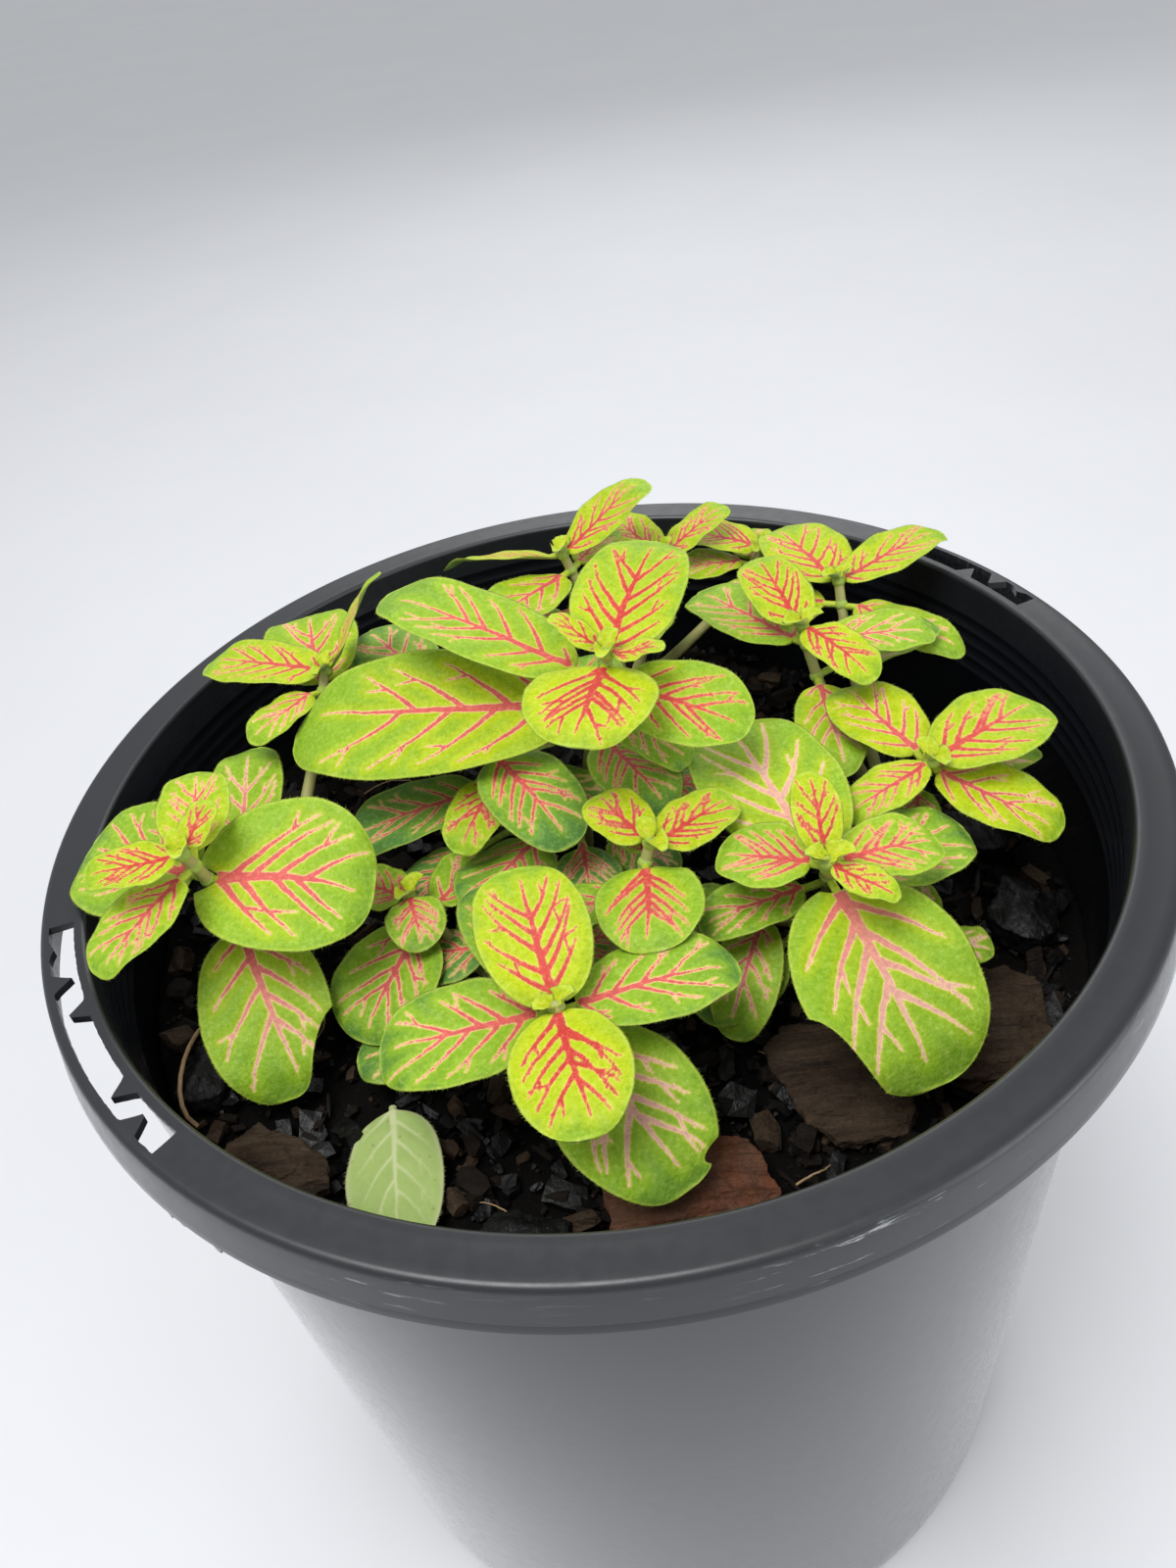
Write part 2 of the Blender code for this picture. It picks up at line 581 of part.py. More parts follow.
def make_fallen_leaf(parts, cutters):
    x, y, *leaf = FALLEN_LEAF
    x, y = x * grow, y * grow
    root = Vector((x, y, mix_height(x, y)))
    solid = blade("fallen", root, Vector((0, 0, 0)), leaf, cutters)
    corners = [vertex.co for vertex in solid.data.vertices]
    sunk = max(mix_height(p.x, p.y) - p.z for p in corners)
    for p in corners:
        p.z += sunk + FALLEN_GAP
    return joined("fallen_leaf", [solid], parts, "leaf_dry")


def make_fibre(parts, cutters):
    ends = []
    for x, y in FIBRE_ENDS:
        height = mix_height(x * grow, y * grow) + FIBRE_RADIUS + SEAT
        ends.append(Vector((x * grow, y * grow, height)))
    way = Vector((-14 * grow, 0, FIBRE_RISE * 3 * grow))
    back = Vector((14 * grow, 0, -FIBRE_RISE * 3 * grow))
    points = smooth_run(ends[0], way, ends[1], back, FIBRE_POINTS)
    fibre = tube("root_fibre", points, [FIBRE_RADIUS] * FIBRE_POINTS, parts)
    fibre.data.materials.append(material("root_tan"))
    fibre.data.shade_smooth()
    return fibre


def build():
    clear_scene()
    parts = new_collection("potted_nerve_plant")
    cutters = new_collection("cutters")
    make_pot(parts, cutters)
    make_mix(parts, cutters)
    routes = stem_routes()
    make_stems(routes, parts, cutters)
    for stem, number, drop, *leaves in PAIRS:
        make_pair(stem, number, drop, leaves, routes, parts, cutters)
    for name, place in CHIPS.items():
        make_chip(name, place, parts)
    make_fallen_leaf(parts, cutters)
    make_fibre(parts, cutters)


build()
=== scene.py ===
"""A nerve plant in a nursery pot: the visible surfaces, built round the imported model.

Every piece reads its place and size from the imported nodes. Lengths are in metres,
and the leaf tables that say so are in millimetres.
"""

import math

import bmesh
import bpy
import numpy as np
from mathutils import Matrix, Vector, noise
from mathutils.bvhtree import BVHTree


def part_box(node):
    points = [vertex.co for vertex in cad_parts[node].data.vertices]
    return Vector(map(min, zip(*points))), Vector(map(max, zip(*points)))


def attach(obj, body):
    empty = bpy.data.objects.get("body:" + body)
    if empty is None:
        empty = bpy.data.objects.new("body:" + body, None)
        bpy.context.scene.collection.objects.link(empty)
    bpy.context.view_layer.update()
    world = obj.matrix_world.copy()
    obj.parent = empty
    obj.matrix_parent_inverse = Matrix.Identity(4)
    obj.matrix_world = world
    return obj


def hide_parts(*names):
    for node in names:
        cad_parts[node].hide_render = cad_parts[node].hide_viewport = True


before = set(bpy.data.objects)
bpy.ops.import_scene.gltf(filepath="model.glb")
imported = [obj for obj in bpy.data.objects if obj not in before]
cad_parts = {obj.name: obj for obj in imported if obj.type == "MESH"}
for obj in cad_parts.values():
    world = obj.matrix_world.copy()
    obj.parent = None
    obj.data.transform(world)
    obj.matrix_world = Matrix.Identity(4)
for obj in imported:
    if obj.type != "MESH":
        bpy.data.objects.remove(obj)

MM = 0.001
UP = Vector((0, 0, 1))
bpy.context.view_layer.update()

# ---------------------------------------------------------------- sizes

# Camera, in the row frame, aimed from its place along three turns.
CAMERA_LENS = 27.0
CAMERA_SENSOR = 36.0
CAMERA_DISTANCE = 216.7 * MM
CAMERA_ELEVATION = 38.9
CAMERA_YAW = 0.12
CAMERA_PITCH = -1.12
CAMERA_ROLL = 9.25

# Leaves.
LEAF_STEP = 0.34 * MM
BLADE_THICKNESS = 0.42 * MM
PETIOLE_RADIUS = 0.72 * MM
STEM_SMOOTHING = 8
OUTLINE_POWER = 0.44
QUILT_HEIGHT = 0.34 * MM
QUILT_REACH = 1.3 * MM
WAVE_HEIGHT = 0.35 * MM
MIDRIB_BULGE = 0.35 * MM
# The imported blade: its first station along the length, its widest corner and its
# end corners as shares of the half width.
CAD_STATION = 0.1
CAD_WIDEST = 0.955
CAD_ENDS = 0.48
# How far a blade is drawn in toward its joint, on a top pair and on the others.
DRAWN_IN_TOP = 0.8
DRAWN_IN = 0.35
STALK_START = 1.0 * MM
BUD_LENGTH = 4.2 * MM
HAIR_LENGTH = 0.42 * MM
HAIR_WIDTH = 0.07 * MM
HAIRS_PER_POINT = 0.9
KNUCKLE_RADIUS = 1.4 * MM
SHADED_KNUCKLE = 1.5 * MM
# Corners of a packed pair nearer its stem than the first belong to the joint, and
# those farther from the hub than the second belong to a leaf.
ON_STEM = 0.7 * MM
CLEAR_OF_HUB = 3.2 * MM
LEAF_VALUES = ("vein", "edge", "under", "age", "tone")

# Veins, in mm and degrees, with the midrib's reach as a share of the blade.
RIB_SHARE = 0.88
VEIN_STEP = 0.9
VEIN_ANGLE = 54
VEIN_TURN = 28
VEIN_TIP = 0.34
SPUR_TIP = 0.24

# Pot.
POT_STEPS = 256
SLOT_STEPS = 96
RIB_COUNT = 5
RIB_FIRST = 7.5 * MM
RIB_PITCH = 3.1 * MM
RIB_HEIGHT = 0.22 * MM
SLOT_TO_EDGE = 3.0 * MM
# Angles between which each slot is looked for; the ring of the drain holes and the
# least angle between two of them.
SLOT_RANGES = ((0, 120), (120, 300))
DRAIN_RING = (40 * MM, 76 * MM)
DRAIN_GAP = 12
SHARP_ANGLE = 35
WALL = 1.5 * MM
RIM_ROUND = 1.3 * MM
MOUTH_ROUND = 0.9 * MM
# Teeth in a slot: place along it, side (1 inner, -1 outer) and height in mm.
TEETH = ((0.1, -1, 0.9), (0.25, -1, 3.1), (0.4, 1, 3.3), (0.76, 1, 3.2), (0.88, -1, 3.3))
TOOTH_HALF_ARC = 1.25
# Scuffed stretches of the rim: middle and reach in degrees, and strength.
SCUFFS = ((-76, 7, 1.0), (-13, 8, 1.0), (-112, 5, 0.5), (-45, 5, 0.4))
# Torn flash under the skirt: from and to in degrees, and its longest drop in mm.
FLASH = ((196, 232, 3.4), (-44, 14, 3.0))

# Potting mix.
MIX_UNEVEN = 1.6 * MM
CLOD_SIZE = 7 * MM
GRAIN_SIZE = 2.2 * MM
REMESH_STEP = 0.4 * MM
FIBRE_POINTS = 16
# Grit, crumbs and slivers: how many, least and greatest length and lift in mm, and
# how wide as a share of the length.
CRUMBS = ((2600, 0.8, 2.4, 0.0, 0.4), (1500, 2.2, 7.5, 0.4, 0.4), (320, 5.0, 14.0, 0.9, 0.12))
CRUMB_SHARES = {"coal": 0.42, "bark": 0.44, "brown": 0.14}

# Lamps: name, place, the height they point at, size and power; then the sky.
LAMPS = (
    ("key", (-0.25, -0.25, 1.2), 0.15, 0.6, 8.2),
    ("fill", (0.9, -0.7, 0.8), 0.15, 0.9, 2.4),
    ("side", (1.0, -0.6, 0.2), 0.1, 0.7, 3.0),
    ("back", (0.2, 1.1, 0.9), 0.15, 0.9, 3.2),
)
SKY_TINT = (0.93, 0.95, 0.97, 1)
SKY_STRENGTH = 0.56

# ---------------------------------------------------------------- meshes


def corners_of(mesh):
    """The corners of a mesh, one row each."""
    found = np.empty(len(mesh.vertices) * 3, np.float32)
    mesh.vertices.foreach_get("co", found)
    return found.reshape(-1, 3).astype(float)


def points_of(name):
    """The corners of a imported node."""
    return corners_of(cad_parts[name].data)


def around(mesh):
    """Radius, height and angle in degrees of a mesh's corners about the pot's axis."""
    x, y, z = corners_of(mesh).T
    return np.hypot(x, y), z, np.degrees(np.arctan2(y, x))


def tree_of(name):
    """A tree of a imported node's faces, for finding the nearest surface."""
    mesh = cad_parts[name].data
    corners = [v.co.copy() for v in mesh.vertices]
    return BVHTree.FromPolygons(corners, [tuple(p.vertices) for p in mesh.polygons])


def new_piece(name, points, faces, material, replaces=(), smooth=True):
    """A shown mesh that rides on the part and stands for the given nodes."""
    mesh = bpy.data.meshes.new(name)
    mesh.from_pydata([tuple(p) for p in points], [], faces)
    mesh.update()
    return settle(name, mesh, material, replaces, smooth)


def settle(name, mesh, material, replaces=(), smooth=True):
    """The mesh as a shown piece, with its material and body."""
    piece = work_object(name, mesh)
    mesh.materials.clear()
    mesh.materials.append(material)
    if smooth:
        mesh.shade_smooth()
    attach(piece, "root")
    if replaces:
        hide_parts(*replaces)
    return piece


def work_object(name, data):
    """A new object that holds the data, in the scene."""
    thing = bpy.data.objects.new(name, data)
    bpy.context.scene.collection.objects.link(thing)
    return thing


def baked(thing, *helpers):
    """The thing's final mesh; the thing and its helpers are removed."""
    bpy.context.view_layer.update()
    graph = bpy.context.evaluated_depsgraph_get()
    mesh = bpy.data.meshes.new_from_object(thing.evaluated_get(graph))
    for spent in (thing, *helpers):
        bpy.data.objects.remove(spent, do_unlink=True)
    return mesh


def remeshed(name, voxel, smoothing=0):
    """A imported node's mesh, split finely and evenly."""
    work = work_object(name + "_work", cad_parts[name].data.copy())
    remesh = work.modifiers.new("Remesh", "REMESH")
    remesh.mode = "VOXEL"
    remesh.voxel_size = voxel
    if smoothing:
        work.modifiers.new("Smooth", "SMOOTH").iterations = smoothing
    return baked(work)


def mesh_of(name, shape):
    """The mesh of a finished bmesh, with its faces turned outward."""
    bmesh.ops.recalc_face_normals(shape, faces=shape.faces[:])
    made = bpy.data.meshes.new(name)
    shape.to_mesh(made)
    shape.free()
    return made


def unit(way):
    return way / np.linalg.norm(way)


def polar(radius, angle):
    return radius * math.cos(angle), radius * math.sin(angle)


def add_attribute(mesh, name, values):
    layer = mesh.attributes.new(name, "FLOAT", "POINT")
    layer.data.foreach_set("value", np.asarray(values, np.float32))


def smooth_step(low, high, value):
    share = np.clip((value - low) / (high - low), 0, 1)
    return share * share * (3 - 2 * share)


class Gather:
    """Points, faces and per-point values of one mesh, filled part by part."""

    def __init__(self, *names):
        self.points, self.faces = [], []
        self.values = {name: [] for name in names}

    def add(self, points, faces, **values):
        first = sum(len(p) for p in self.points)
        self.points.append(np.asarray(points, float))
        self.faces += [tuple(i + first for i in face) for face in faces]
        for name, held in self.values.items():
            value = values.get(name, 0.0)
            held.append(np.broadcast_to(np.asarray(value, float), len(points)))

    def piece(self, name, material, slot, replaces=(), smooth=True):
        points = np.concatenate(self.points)
        made = new_piece(name, points, self.faces, material, replaces, smooth)
        for key, held in self.values.items():
            add_attribute(made.data, key, np.concatenate(held))


def rings_faces(rows, columns):
    """Quads of a tube of rings, each ring closed, with a cap at both ends."""
    faces = []
    for r in range(rows - 1):
        for c in range(columns):
            d = (c + 1) % columns
            faces.append((r * columns + c, r * columns + d,
                          (r + 1) * columns + d, (r + 1) * columns + c))
    faces.append(tuple(reversed(range(columns))))
    faces.append(tuple((rows - 1) * columns + c for c in range(columns)))
    return faces


# ---------------------------------------------------------------- node trees


class Shader:
    """A short way to write a procedural material."""

    def __init__(self, name):
        self.material = bpy.data.materials.new(name)
        self.material.use_nodes = True
        self.tree = self.material.node_tree
        self.tree.nodes.clear()
        self.surface = self.tree.nodes.new("ShaderNodeBsdfPrincipled")
        output = self.tree.nodes.new("ShaderNodeOutputMaterial")
        self.tree.links.new(self.surface.outputs[0], output.inputs["Surface"])
        self.place = self.tree.nodes.new("ShaderNodeTexCoord").outputs["Object"]

    def put(self, socket, value):
        if isinstance(value, bpy.types.NodeSocket):
            self.tree.links.new(value, socket)
        else:
            socket.default_value = value

    def set(self, **inputs):
        for name, value in inputs.items():
            key = name.replace("_", " ").title().replace("Ior", "IOR")
            self.put(self.surface.inputs[key], value)

    def rough(self, grain, low, high):
        """Roughness that follows a noise between two values."""
        self.set(roughness=self.span(grain, 0.3, 0.7, low, high))

    def attribute(self, name):
        node = self.tree.nodes.new("ShaderNodeAttribute")
        node.attribute_name = name
        return node.outputs["Fac"]

    def math(self, operation, a, b):
        node = self.tree.nodes.new("ShaderNodeMath")
        node.operation = operation
        for socket, value in zip(node.inputs, (a, b)):
            self.put(socket, value)
        return node.outputs[0]

    def blend(self, share, a, b):
        """A mix of two colours, each a socket or screen values."""
        node = self.tree.nodes.new("ShaderNodeMix")
        node.data_type = "RGBA"
        self.put(node.inputs[0], share)
        for socket, value in zip(node.inputs[6:8], (a, b)):
            self.put(socket, colour(*value) if isinstance(value, tuple) else value)
        return node.outputs[2]

    def span(self, value, low, high, out_low=0.0, out_high=1.0):
        """The value carried smoothly from one range to another."""
        node = self.tree.nodes.new("ShaderNodeMapRange")
        node.interpolation_type = "SMOOTHSTEP"
        for socket, v in zip(node.inputs, (value, low, high, out_low, out_high)):
            self.put(socket, v)
        return node.outputs[0]

    def noise(self, scale, detail=3.0, rough=0.55, stretch=None, warp=0.0):
        node = self.tree.nodes.new("ShaderNodeTexNoise")
        self.put(node.inputs["Vector"], self.stretched(stretch) if stretch else self.place)
        node.inputs["Scale"].default_value = scale
        node.inputs["Detail"].default_value = detail
        node.inputs["Roughness"].default_value = rough
        node.inputs["Distortion"].default_value = warp
        return node.outputs["Fac"]

    def cells(self, scale):
        node = self.tree.nodes.new("ShaderNodeTexVoronoi")
        self.put(node.inputs["Vector"], self.place)
        node.inputs["Scale"].default_value = scale
        return node.outputs["Distance"]

    def stretched(self, stretch):
        node = self.tree.nodes.new("ShaderNodeMapping")
        self.put(node.inputs["Vector"], self.place)
        node.inputs["Scale"].default_value = stretch
        return node.outputs[0]

    def bump(self, height, distance, strength, under=None):
        node = self.tree.nodes.new("ShaderNodeBump")
        node.inputs["Strength"].default_value = strength
        node.inputs["Distance"].default_value = distance
        self.put(node.inputs["Height"], height)
        if under is not None:
            self.put(node.inputs["Normal"], under)
        self.put(self.surface.inputs["Normal"], node.outputs[0])
        return node.outputs[0]


def colour(red, green, blue):
    """A screen colour, 0 to 255, as linear light."""
    parts = []
    for value in (red, green, blue):
        v = value / 255
        parts.append(v / 12.92 if v <= 0.04045 else ((v + 0.055) / 1.055) ** 2.4)
    return (*parts, 1.0)


def leaf_material():
    """Blade colour from age and tone, veins from their distance, a pale underside."""
    s = Shader("nerve_leaf")
    age, tone, under = s.attribute("age"), s.attribute("tone"), s.attribute("under")
    vein, edge = s.attribute("vein"), s.attribute("edge")
    patchy = s.noise(220, 3)
    fine = s.noise(1500, 2)
    lime = s.blend(patchy, (176, 198, 4), (200, 212, 22))
    leafy = s.blend(patchy, (128, 172, 26), (160, 194, 52))
    # Deep green: partly the older leaves' own darker colour, partly painted shade for leaves low
    # under the shoots.
    deep = s.blend(patchy, (70, 122, 44), (106, 152, 74))
    green = s.blend(s.span(tone, 0.0, 0.5), lime, leafy)
    green = s.blend(s.span(tone, 0.5, 1.0), green, deep)
    rim = s.span(edge, 0.0, 0.9, 0.5, 0.0)
    green = s.blend(rim, green, (204, 224, 84))
    ragged = s.math("ADD", vein, s.span(fine, 0.3, 0.7, -0.07, 0.07))
    halo = s.span(ragged, 0.0, 0.4, 0.5, 0.0)
    body = s.blend(halo, green, (228, 216, 92))
    young = s.blend(patchy, (196, 40, 48), (222, 76, 66))
    grown = s.blend(patchy, (214, 76, 84), (230, 112, 104))
    old = s.blend(patchy, (226, 156, 142), (238, 196, 176))
    pink = s.blend(s.span(age, 0.1, 0.55), young, grown)
    pink = s.blend(s.span(age, 0.6, 1.0), pink, old)
    border = s.math("MULTIPLY", s.span(ragged, -0.2, -0.04), s.span(age, 0.2, 0.6, 0.15, 0.8))
    pink = s.blend(border, pink, (250, 210, 166))
    top = s.blend(s.span(ragged, -0.07, 0.09, 1.0, 0.0), body, pink)
    grain = s.noise(1150, 4, 0.8)
    top = s.blend(s.span(grain, 0.46, 0.72, 0.0, 0.34), top, (64, 104, 26))
    top = s.blend(s.span(grain, 0.5, 0.3, 0.0, 0.22), top, (232, 238, 150))
    speck = s.span(s.cells(620), 0.02, 0.1, 0.4, 0.0)
    top = s.blend(speck, top, (226, 236, 170))
    below = s.blend(patchy, (148, 176, 108), (172, 194, 132))
    below = s.blend(s.span(ragged, -0.1, 0.2, 0.5, 0.0), below, (206, 196, 150))
    s.set(base_color=s.blend(under, top, below))
    s.rough(fine, 0.42, 0.58)
    s.set(specular_ior_level=0.2, subsurface_weight=0.1, subsurface_scale=1.2 * MM)
    s.set(subsurface_radius=(0.6, 1.0, 0.25))
    downy = s.bump(s.cells(1800), 0.1 * MM, 0.6)
    s.bump(s.noise(700, 4), 0.3 * MM, 0.7, under=downy)
    return s.material


def stem_material():
    s = Shader("nerve_stem")
    patchy, fine = s.noise(160, 3), s.noise(1300, 3)
    green = s.blend(patchy, (150, 168, 84), (188, 178, 120))
    s.set(base_color=s.blend(s.span(fine, 0.45, 0.75, 0.0, 0.35), green, (206, 150, 120)))
    s.rough(fine, 0.45, 0.65)
    s.set(subsurface_weight=0.12, subsurface_scale=1.0 * MM)
    s.bump(s.noise(1800, 3, stretch=(1, 1, 0.3)), 0.15 * MM, 0.6)
    return s.material


def dry_leaf_material():
    """A dropped leaf: dull pale green, with veins paler than the blade."""
    s = Shader("dropped_leaf")
    vein, edge = s.attribute("vein"), s.attribute("edge")
    patchy, fine = s.noise(240, 4), s.noise(1600, 3)
    body = s.blend(patchy, (150, 178, 90), (178, 198, 118))
    body = s.blend(s.span(edge, 0.0, 1.2, 0.7, 0.0), body, (196, 198, 150))
    spot = s.span(s.cells(420), 0.05, 0.16, 0.5, 0.0)
    body = s.blend(spot, body, (128, 118, 70))
    s.set(base_color=s.blend(s.span(vein, -0.2, 0.3, 0.85, 0.0), body, (208, 214, 160)))
    s.rough(fine, 0.55, 0.75)
    s.bump(s.noise(1100, 4), 0.2 * MM, 0.7)
    return s.material


def pot_material(name, sheen, specular):
    """Moulded black plastic: a fine haze, soft waves, dust and scuffed edges."""
    s = Shader(name)
    wear = s.attribute("wear")
    haze, fine = s.noise(26, 4), s.noise(420, 3)
    scratch = s.noise(90, 6, 0.7, stretch=(1, 1, 14))
    body = s.blend(haze, (20, 22, 26), (30, 32, 38))
    dust = s.span(s.cells(420), 0.0, 0.05, 0.25, 0.0)
    body = s.blend(dust, body, (120, 122, 124))
    scuff = s.math("MULTIPLY", wear, s.span(scratch, 0.58, 0.64))
    body = s.blend(s.math("MULTIPLY", scuff, 0.85), body, (206, 210, 214))
    s.set(base_color=body)
    gloss = s.span(s.attribute("lip"), 0.0, 1.0, 0.12, 0.36)
    gloss = s.math("ADD", gloss, s.span(fine, 0.3, 0.7, 0.0, 0.06))
    s.set(roughness=s.math("ADD", gloss, s.math("MULTIPLY", scuff, 0.3)))
    s.set(sheen_weight=sheen, sheen_roughness=0.25, specular_ior_level=specular)
    waves = s.bump(s.noise(30, 2, stretch=(1, 1, 0.2)), 0.9 * MM, 0.16)
    s.bump(fine, 0.02 * MM, 0.2, under=waves)
    return s.material


def bark_material(name, dark, light, red):
    s = Shader(name)
    layers = s.noise(60, 6, 0.7, stretch=(1, 5, 7), warp=1.6)
    patchy, fine = s.noise(120, 4), s.noise(1400, 4, 0.7)
    body = s.blend(layers, dark, light)
    body = s.blend(s.span(patchy, 0.42, 0.66, 0.0, 0.8), body, red)
    streak = s.noise(300, 5, 0.75, stretch=(0.14, 1, 1), warp=0.6)
    body = s.blend(s.span(streak, 0.52, 0.7, 0.0, 0.55), body, light)
    body = s.blend(s.span(streak, 0.48, 0.34, 0.0, 0.7), body, dark)
    body = s.blend(s.span(fine, 0.35, 0.75, 0.0, 0.35), body, (22, 18, 16))
    s.set(base_color=body)
    s.rough(fine, 0.62, 0.85)
    s.set(specular_ior_level=0.2)
    under = s.bump(layers, 0.9 * MM, 0.8)
    ridged = s.bump(streak, 0.7 * MM, 0.9, under=under)
    s.bump(fine, 0.2 * MM, 0.8, under=ridged)
    return s.material


def charcoal_material():
    s = Shader("charcoal")
    grain, fine = s.noise(240, 5, 0.7, stretch=(1, 0.25, 1)), s.noise(1500, 3)
    body = s.blend(grain, (4, 4, 4), (20, 19, 19))
    ash = s.span(s.noise(380, 4, 0.7), 0.62, 0.75, 0.0, 0.5)
    s.set(base_color=s.blend(ash, body, (46, 45, 43)))
    s.rough(grain, 0.3, 0.62)
    s.set(specular_ior_level=0.28)
    under = s.bump(grain, 0.6 * MM, 0.8)
    s.bump(fine, 0.15 * MM, 0.7, under=under)
    return s.material


def soil_material():
    s = Shader("potting_mix_fines_gap_shade")
    # Near-black fines: partly the mix's own dark colour, partly painted shade for the gaps
    # between the crumbs.
    clods, fine = s.noise(300, 6, 0.7), s.noise(1900, 4, 0.7)
    body = s.blend(clods, (3, 3, 3), (17, 13, 11))
    chip = s.span(s.cells(700), 0.05, 0.2, 0.6, 0.0)
    body = s.blend(chip, body, (34, 26, 19))
    s.set(base_color=body)
    s.rough(fine, 0.7, 0.92)
    s.set(specular_ior_level=0.12)
    under = s.bump(clods, 1.2 * MM, 0.9)
    s.bump(fine, 0.3 * MM, 0.9, under=under)
    return s.material


def fibre_material():
    s = Shader("dry_fibre")
    fine = s.noise(900, 4, stretch=(1, 1, 0.3))
    s.set(base_color=s.blend(fine, (120, 90, 62), (196, 166, 124)))
    s.rough(fine, 0.5, 0.8)
    s.bump(fine, 0.1 * MM, 0.7)
    return s.material


def floor_material():
    s = Shader("pale_floor")
    cloudy, fine = s.noise(6, 4), s.noise(240, 3)
    s.set(base_color=s.blend(cloudy, (228, 229, 233), (236, 237, 240)))
    s.rough(fine, 0.42, 0.55)
    s.bump(fine, 0.1 * MM, 0.15)
    return s.material


# ---------------------------------------------------------------- leaves

# Which stem node carries the leaf pairs of each shoot.
STEM_OF = {
    "front": "front", "centre": "front", "dark": "front",
    "crown": "crown", "midleft": "crown",
    "mid": "mid", "low": "mid", "seedling": "mid",
    "left": "left", "nw": "left",
    "east": "east", "ne": "east", "farright": "east",
    "far": "back", "farmid": "back", "farcentre": "back",
}

# How a pair looks: age of its two leaves from young 0 to old 1, then the tone of
# their green from lime 0 to deep 1; the deep end is partly the leaves' own darker green
# and partly painted shade on pairs low under the shoots. Pairs that aren't listed follow
# their order.
LOOKS = {
    "front_1": (0.25, 0.05, 0.12, 0.0),
    "front_2": (0.5, 0.5, 0.45, 0.5),
    "front_3": (0.9, 0.35, 0.3, 0.5),
    "crown_1": (0.0, 0.0, 0.0, 0.05),
    "crown_2": (0.12, 0.08, 0.12, 0.0),
    "crown_3": (0.4, 0.25, 0.3, 0.3),
    "crown_4": (0.55, 0.5, 0.14, 0.4),
    "crown_5": (0.3, 0.4, 0.55, 0.6),
    "mid_1": (0.15, 0.2, 0.0, 0.1),
    "mid_2": (0.35, 0.35, 0.3, 0.35),
    "mid_3": (0.85, 0.95, 0.26, 0.2),
    "mid_4": (0.5, 0.5, 0.5, 0.6),
    "centre_1": (0.2, 0.25, 0.1, 0.05),
    "centre_2": (0.3, 0.4, 0.3, 0.6),
    "centre_3": (0.5, 0.5, 0.55, 0.7),
    "left_1": (0.1, 0.2, 0.1, 0.1),
    "left_2": (0.4, 0.4, 0.25, 0.2),
    "left_3": (0.5, 0.45, 0.25, 0.4),
    "left_4": (0.75, 0.75, 0.3, 0.35),
    "east_1": (0.3, 0.35, 0.2, 0.2),
    "east_2": (0.5, 0.5, 0.0, 0.05),
    "ne_1": (0.15, 0.15, 0.1, 0.1),
    "ne_2": (0.4, 0.5, 0.35, 0.3),
    "dark_1": (0.35, 0.4, 0.5, 0.5),
    "dark_2": (0.55, 0.5, 0.5, 0.48),
    "midleft_1": (0.4, 0.4, 0.5, 0.6),
    "midleft_2": (0.25, 0.3, 0.2, 0.6),
    "midleft_3": (0.5, 0.5, 0.75, 0.7),
    "low_1": (0.7, 0.5, 0.4, 0.5),
    "seedling_1": (0.9, 0.9, 0.55, 0.5),
}


class Leaf:
    """A packed leaf read back: its frame, its blade and the bend of its middle."""

    def __init__(self, corners, hub, partner_way):
        reach = np.linalg.norm(corners - hub, axis=1)
        tip = corners[reach > reach.max() - 0.9 * MM].mean(axis=0)
        self.hub = hub
        self.ahead = unit(tip - hub)
        far = corners[reach > CLEAR_OF_HUB]
        flat = (far - hub) - np.outer((far - hub) @ self.ahead, self.ahead)
        side = np.linalg.svd(flat, full_matrices=False)[2][0]
        self.normal = np.cross(self.ahead, side)
        if self.normal @ (np.array([0, 0, 1.0]) + 0.5 * partner_way) < 0:
            self.normal = -self.normal
        self.side = np.cross(self.normal, self.ahead)
        along, across = (far - hub) @ self.ahead, (far - hub) @ self.side
        self.half = np.abs(across).max() / CAD_WIDEST
        wide = np.abs(across) > CAD_ENDS * self.half
        first, last = along[wide].min(), along[wide].max()
        self.length = (last - first) / (1 - 2 * CAD_STATION)
        self.base = first - CAD_STATION * self.length
        self.bend = self.fit(along, across, (far - hub) @ self.normal)

    @staticmethod
    def terms(along, across):
        one = np.ones_like(along)
        return np.stack([one, along, along**2, across, np.abs(across)], -1)

    def fit(self, along, across, height):
        a, b = along / MM, across / MM
        return np.linalg.lstsq(self.terms(a, b), height / MM, rcond=None)[0]

    def middle(self, along):
        """Height of the midrib over the leaf's straight line, level at the hub."""
        a = along / MM
        lift = self.bend[0] + self.bend[1] * a + self.bend[2] * a * a
        return lift * MM * smooth_step(0, 5, a)

    def cup(self, across):
        """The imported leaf's fold, as a round cup with the same rise at the margin."""
        b = across / MM
        half = self.half / MM
        return (self.bend[3] * b + self.bend[4] * b * b / half) * MM

    def world(self, along, across, height):
        return (self.hub + np.outer(along, self.ahead) + np.outer(across, self.side)
                + np.outer(height, self.normal))


def read_pair(corners, stem_tree):
    """The hub of a packed pair, on its stem, and its two leaves."""
    close = []
    for p in corners:
        gap = stem_tree.find_nearest(Vector(p))[3]
        if gap < ON_STEM:
            close.append(p)
    close = np.array(close)
    middle = np.median(close, axis=0)
    close = close[np.linalg.norm(close - middle, axis=1) < 4 * MM]
    hub = close.mean(axis=0)
    reach = np.linalg.norm(corners - hub, axis=1)
    outer = corners[reach > CLEAR_OF_HUB]
    ways = (outer - hub) / np.linalg.norm(outer - hub, axis=1)[:, None]
    first = ways[np.linalg.norm(outer - hub, axis=1).argmax()]
    second = ways[(ways @ first).argmin()]
    for _ in range(6):
        nearer = ways @ first > ways @ second
        first, second = unit(ways[nearer].mean(axis=0)), unit(ways[~nearer].mean(axis=0))
    groups = [(outer[nearer], second), (outer[~nearer], first)]
    leaves = [Leaf(corner, hub, way) for corner, way in groups]
    return hub, sorted(leaves, key=lambda leaf: -leaf.length * leaf.half)


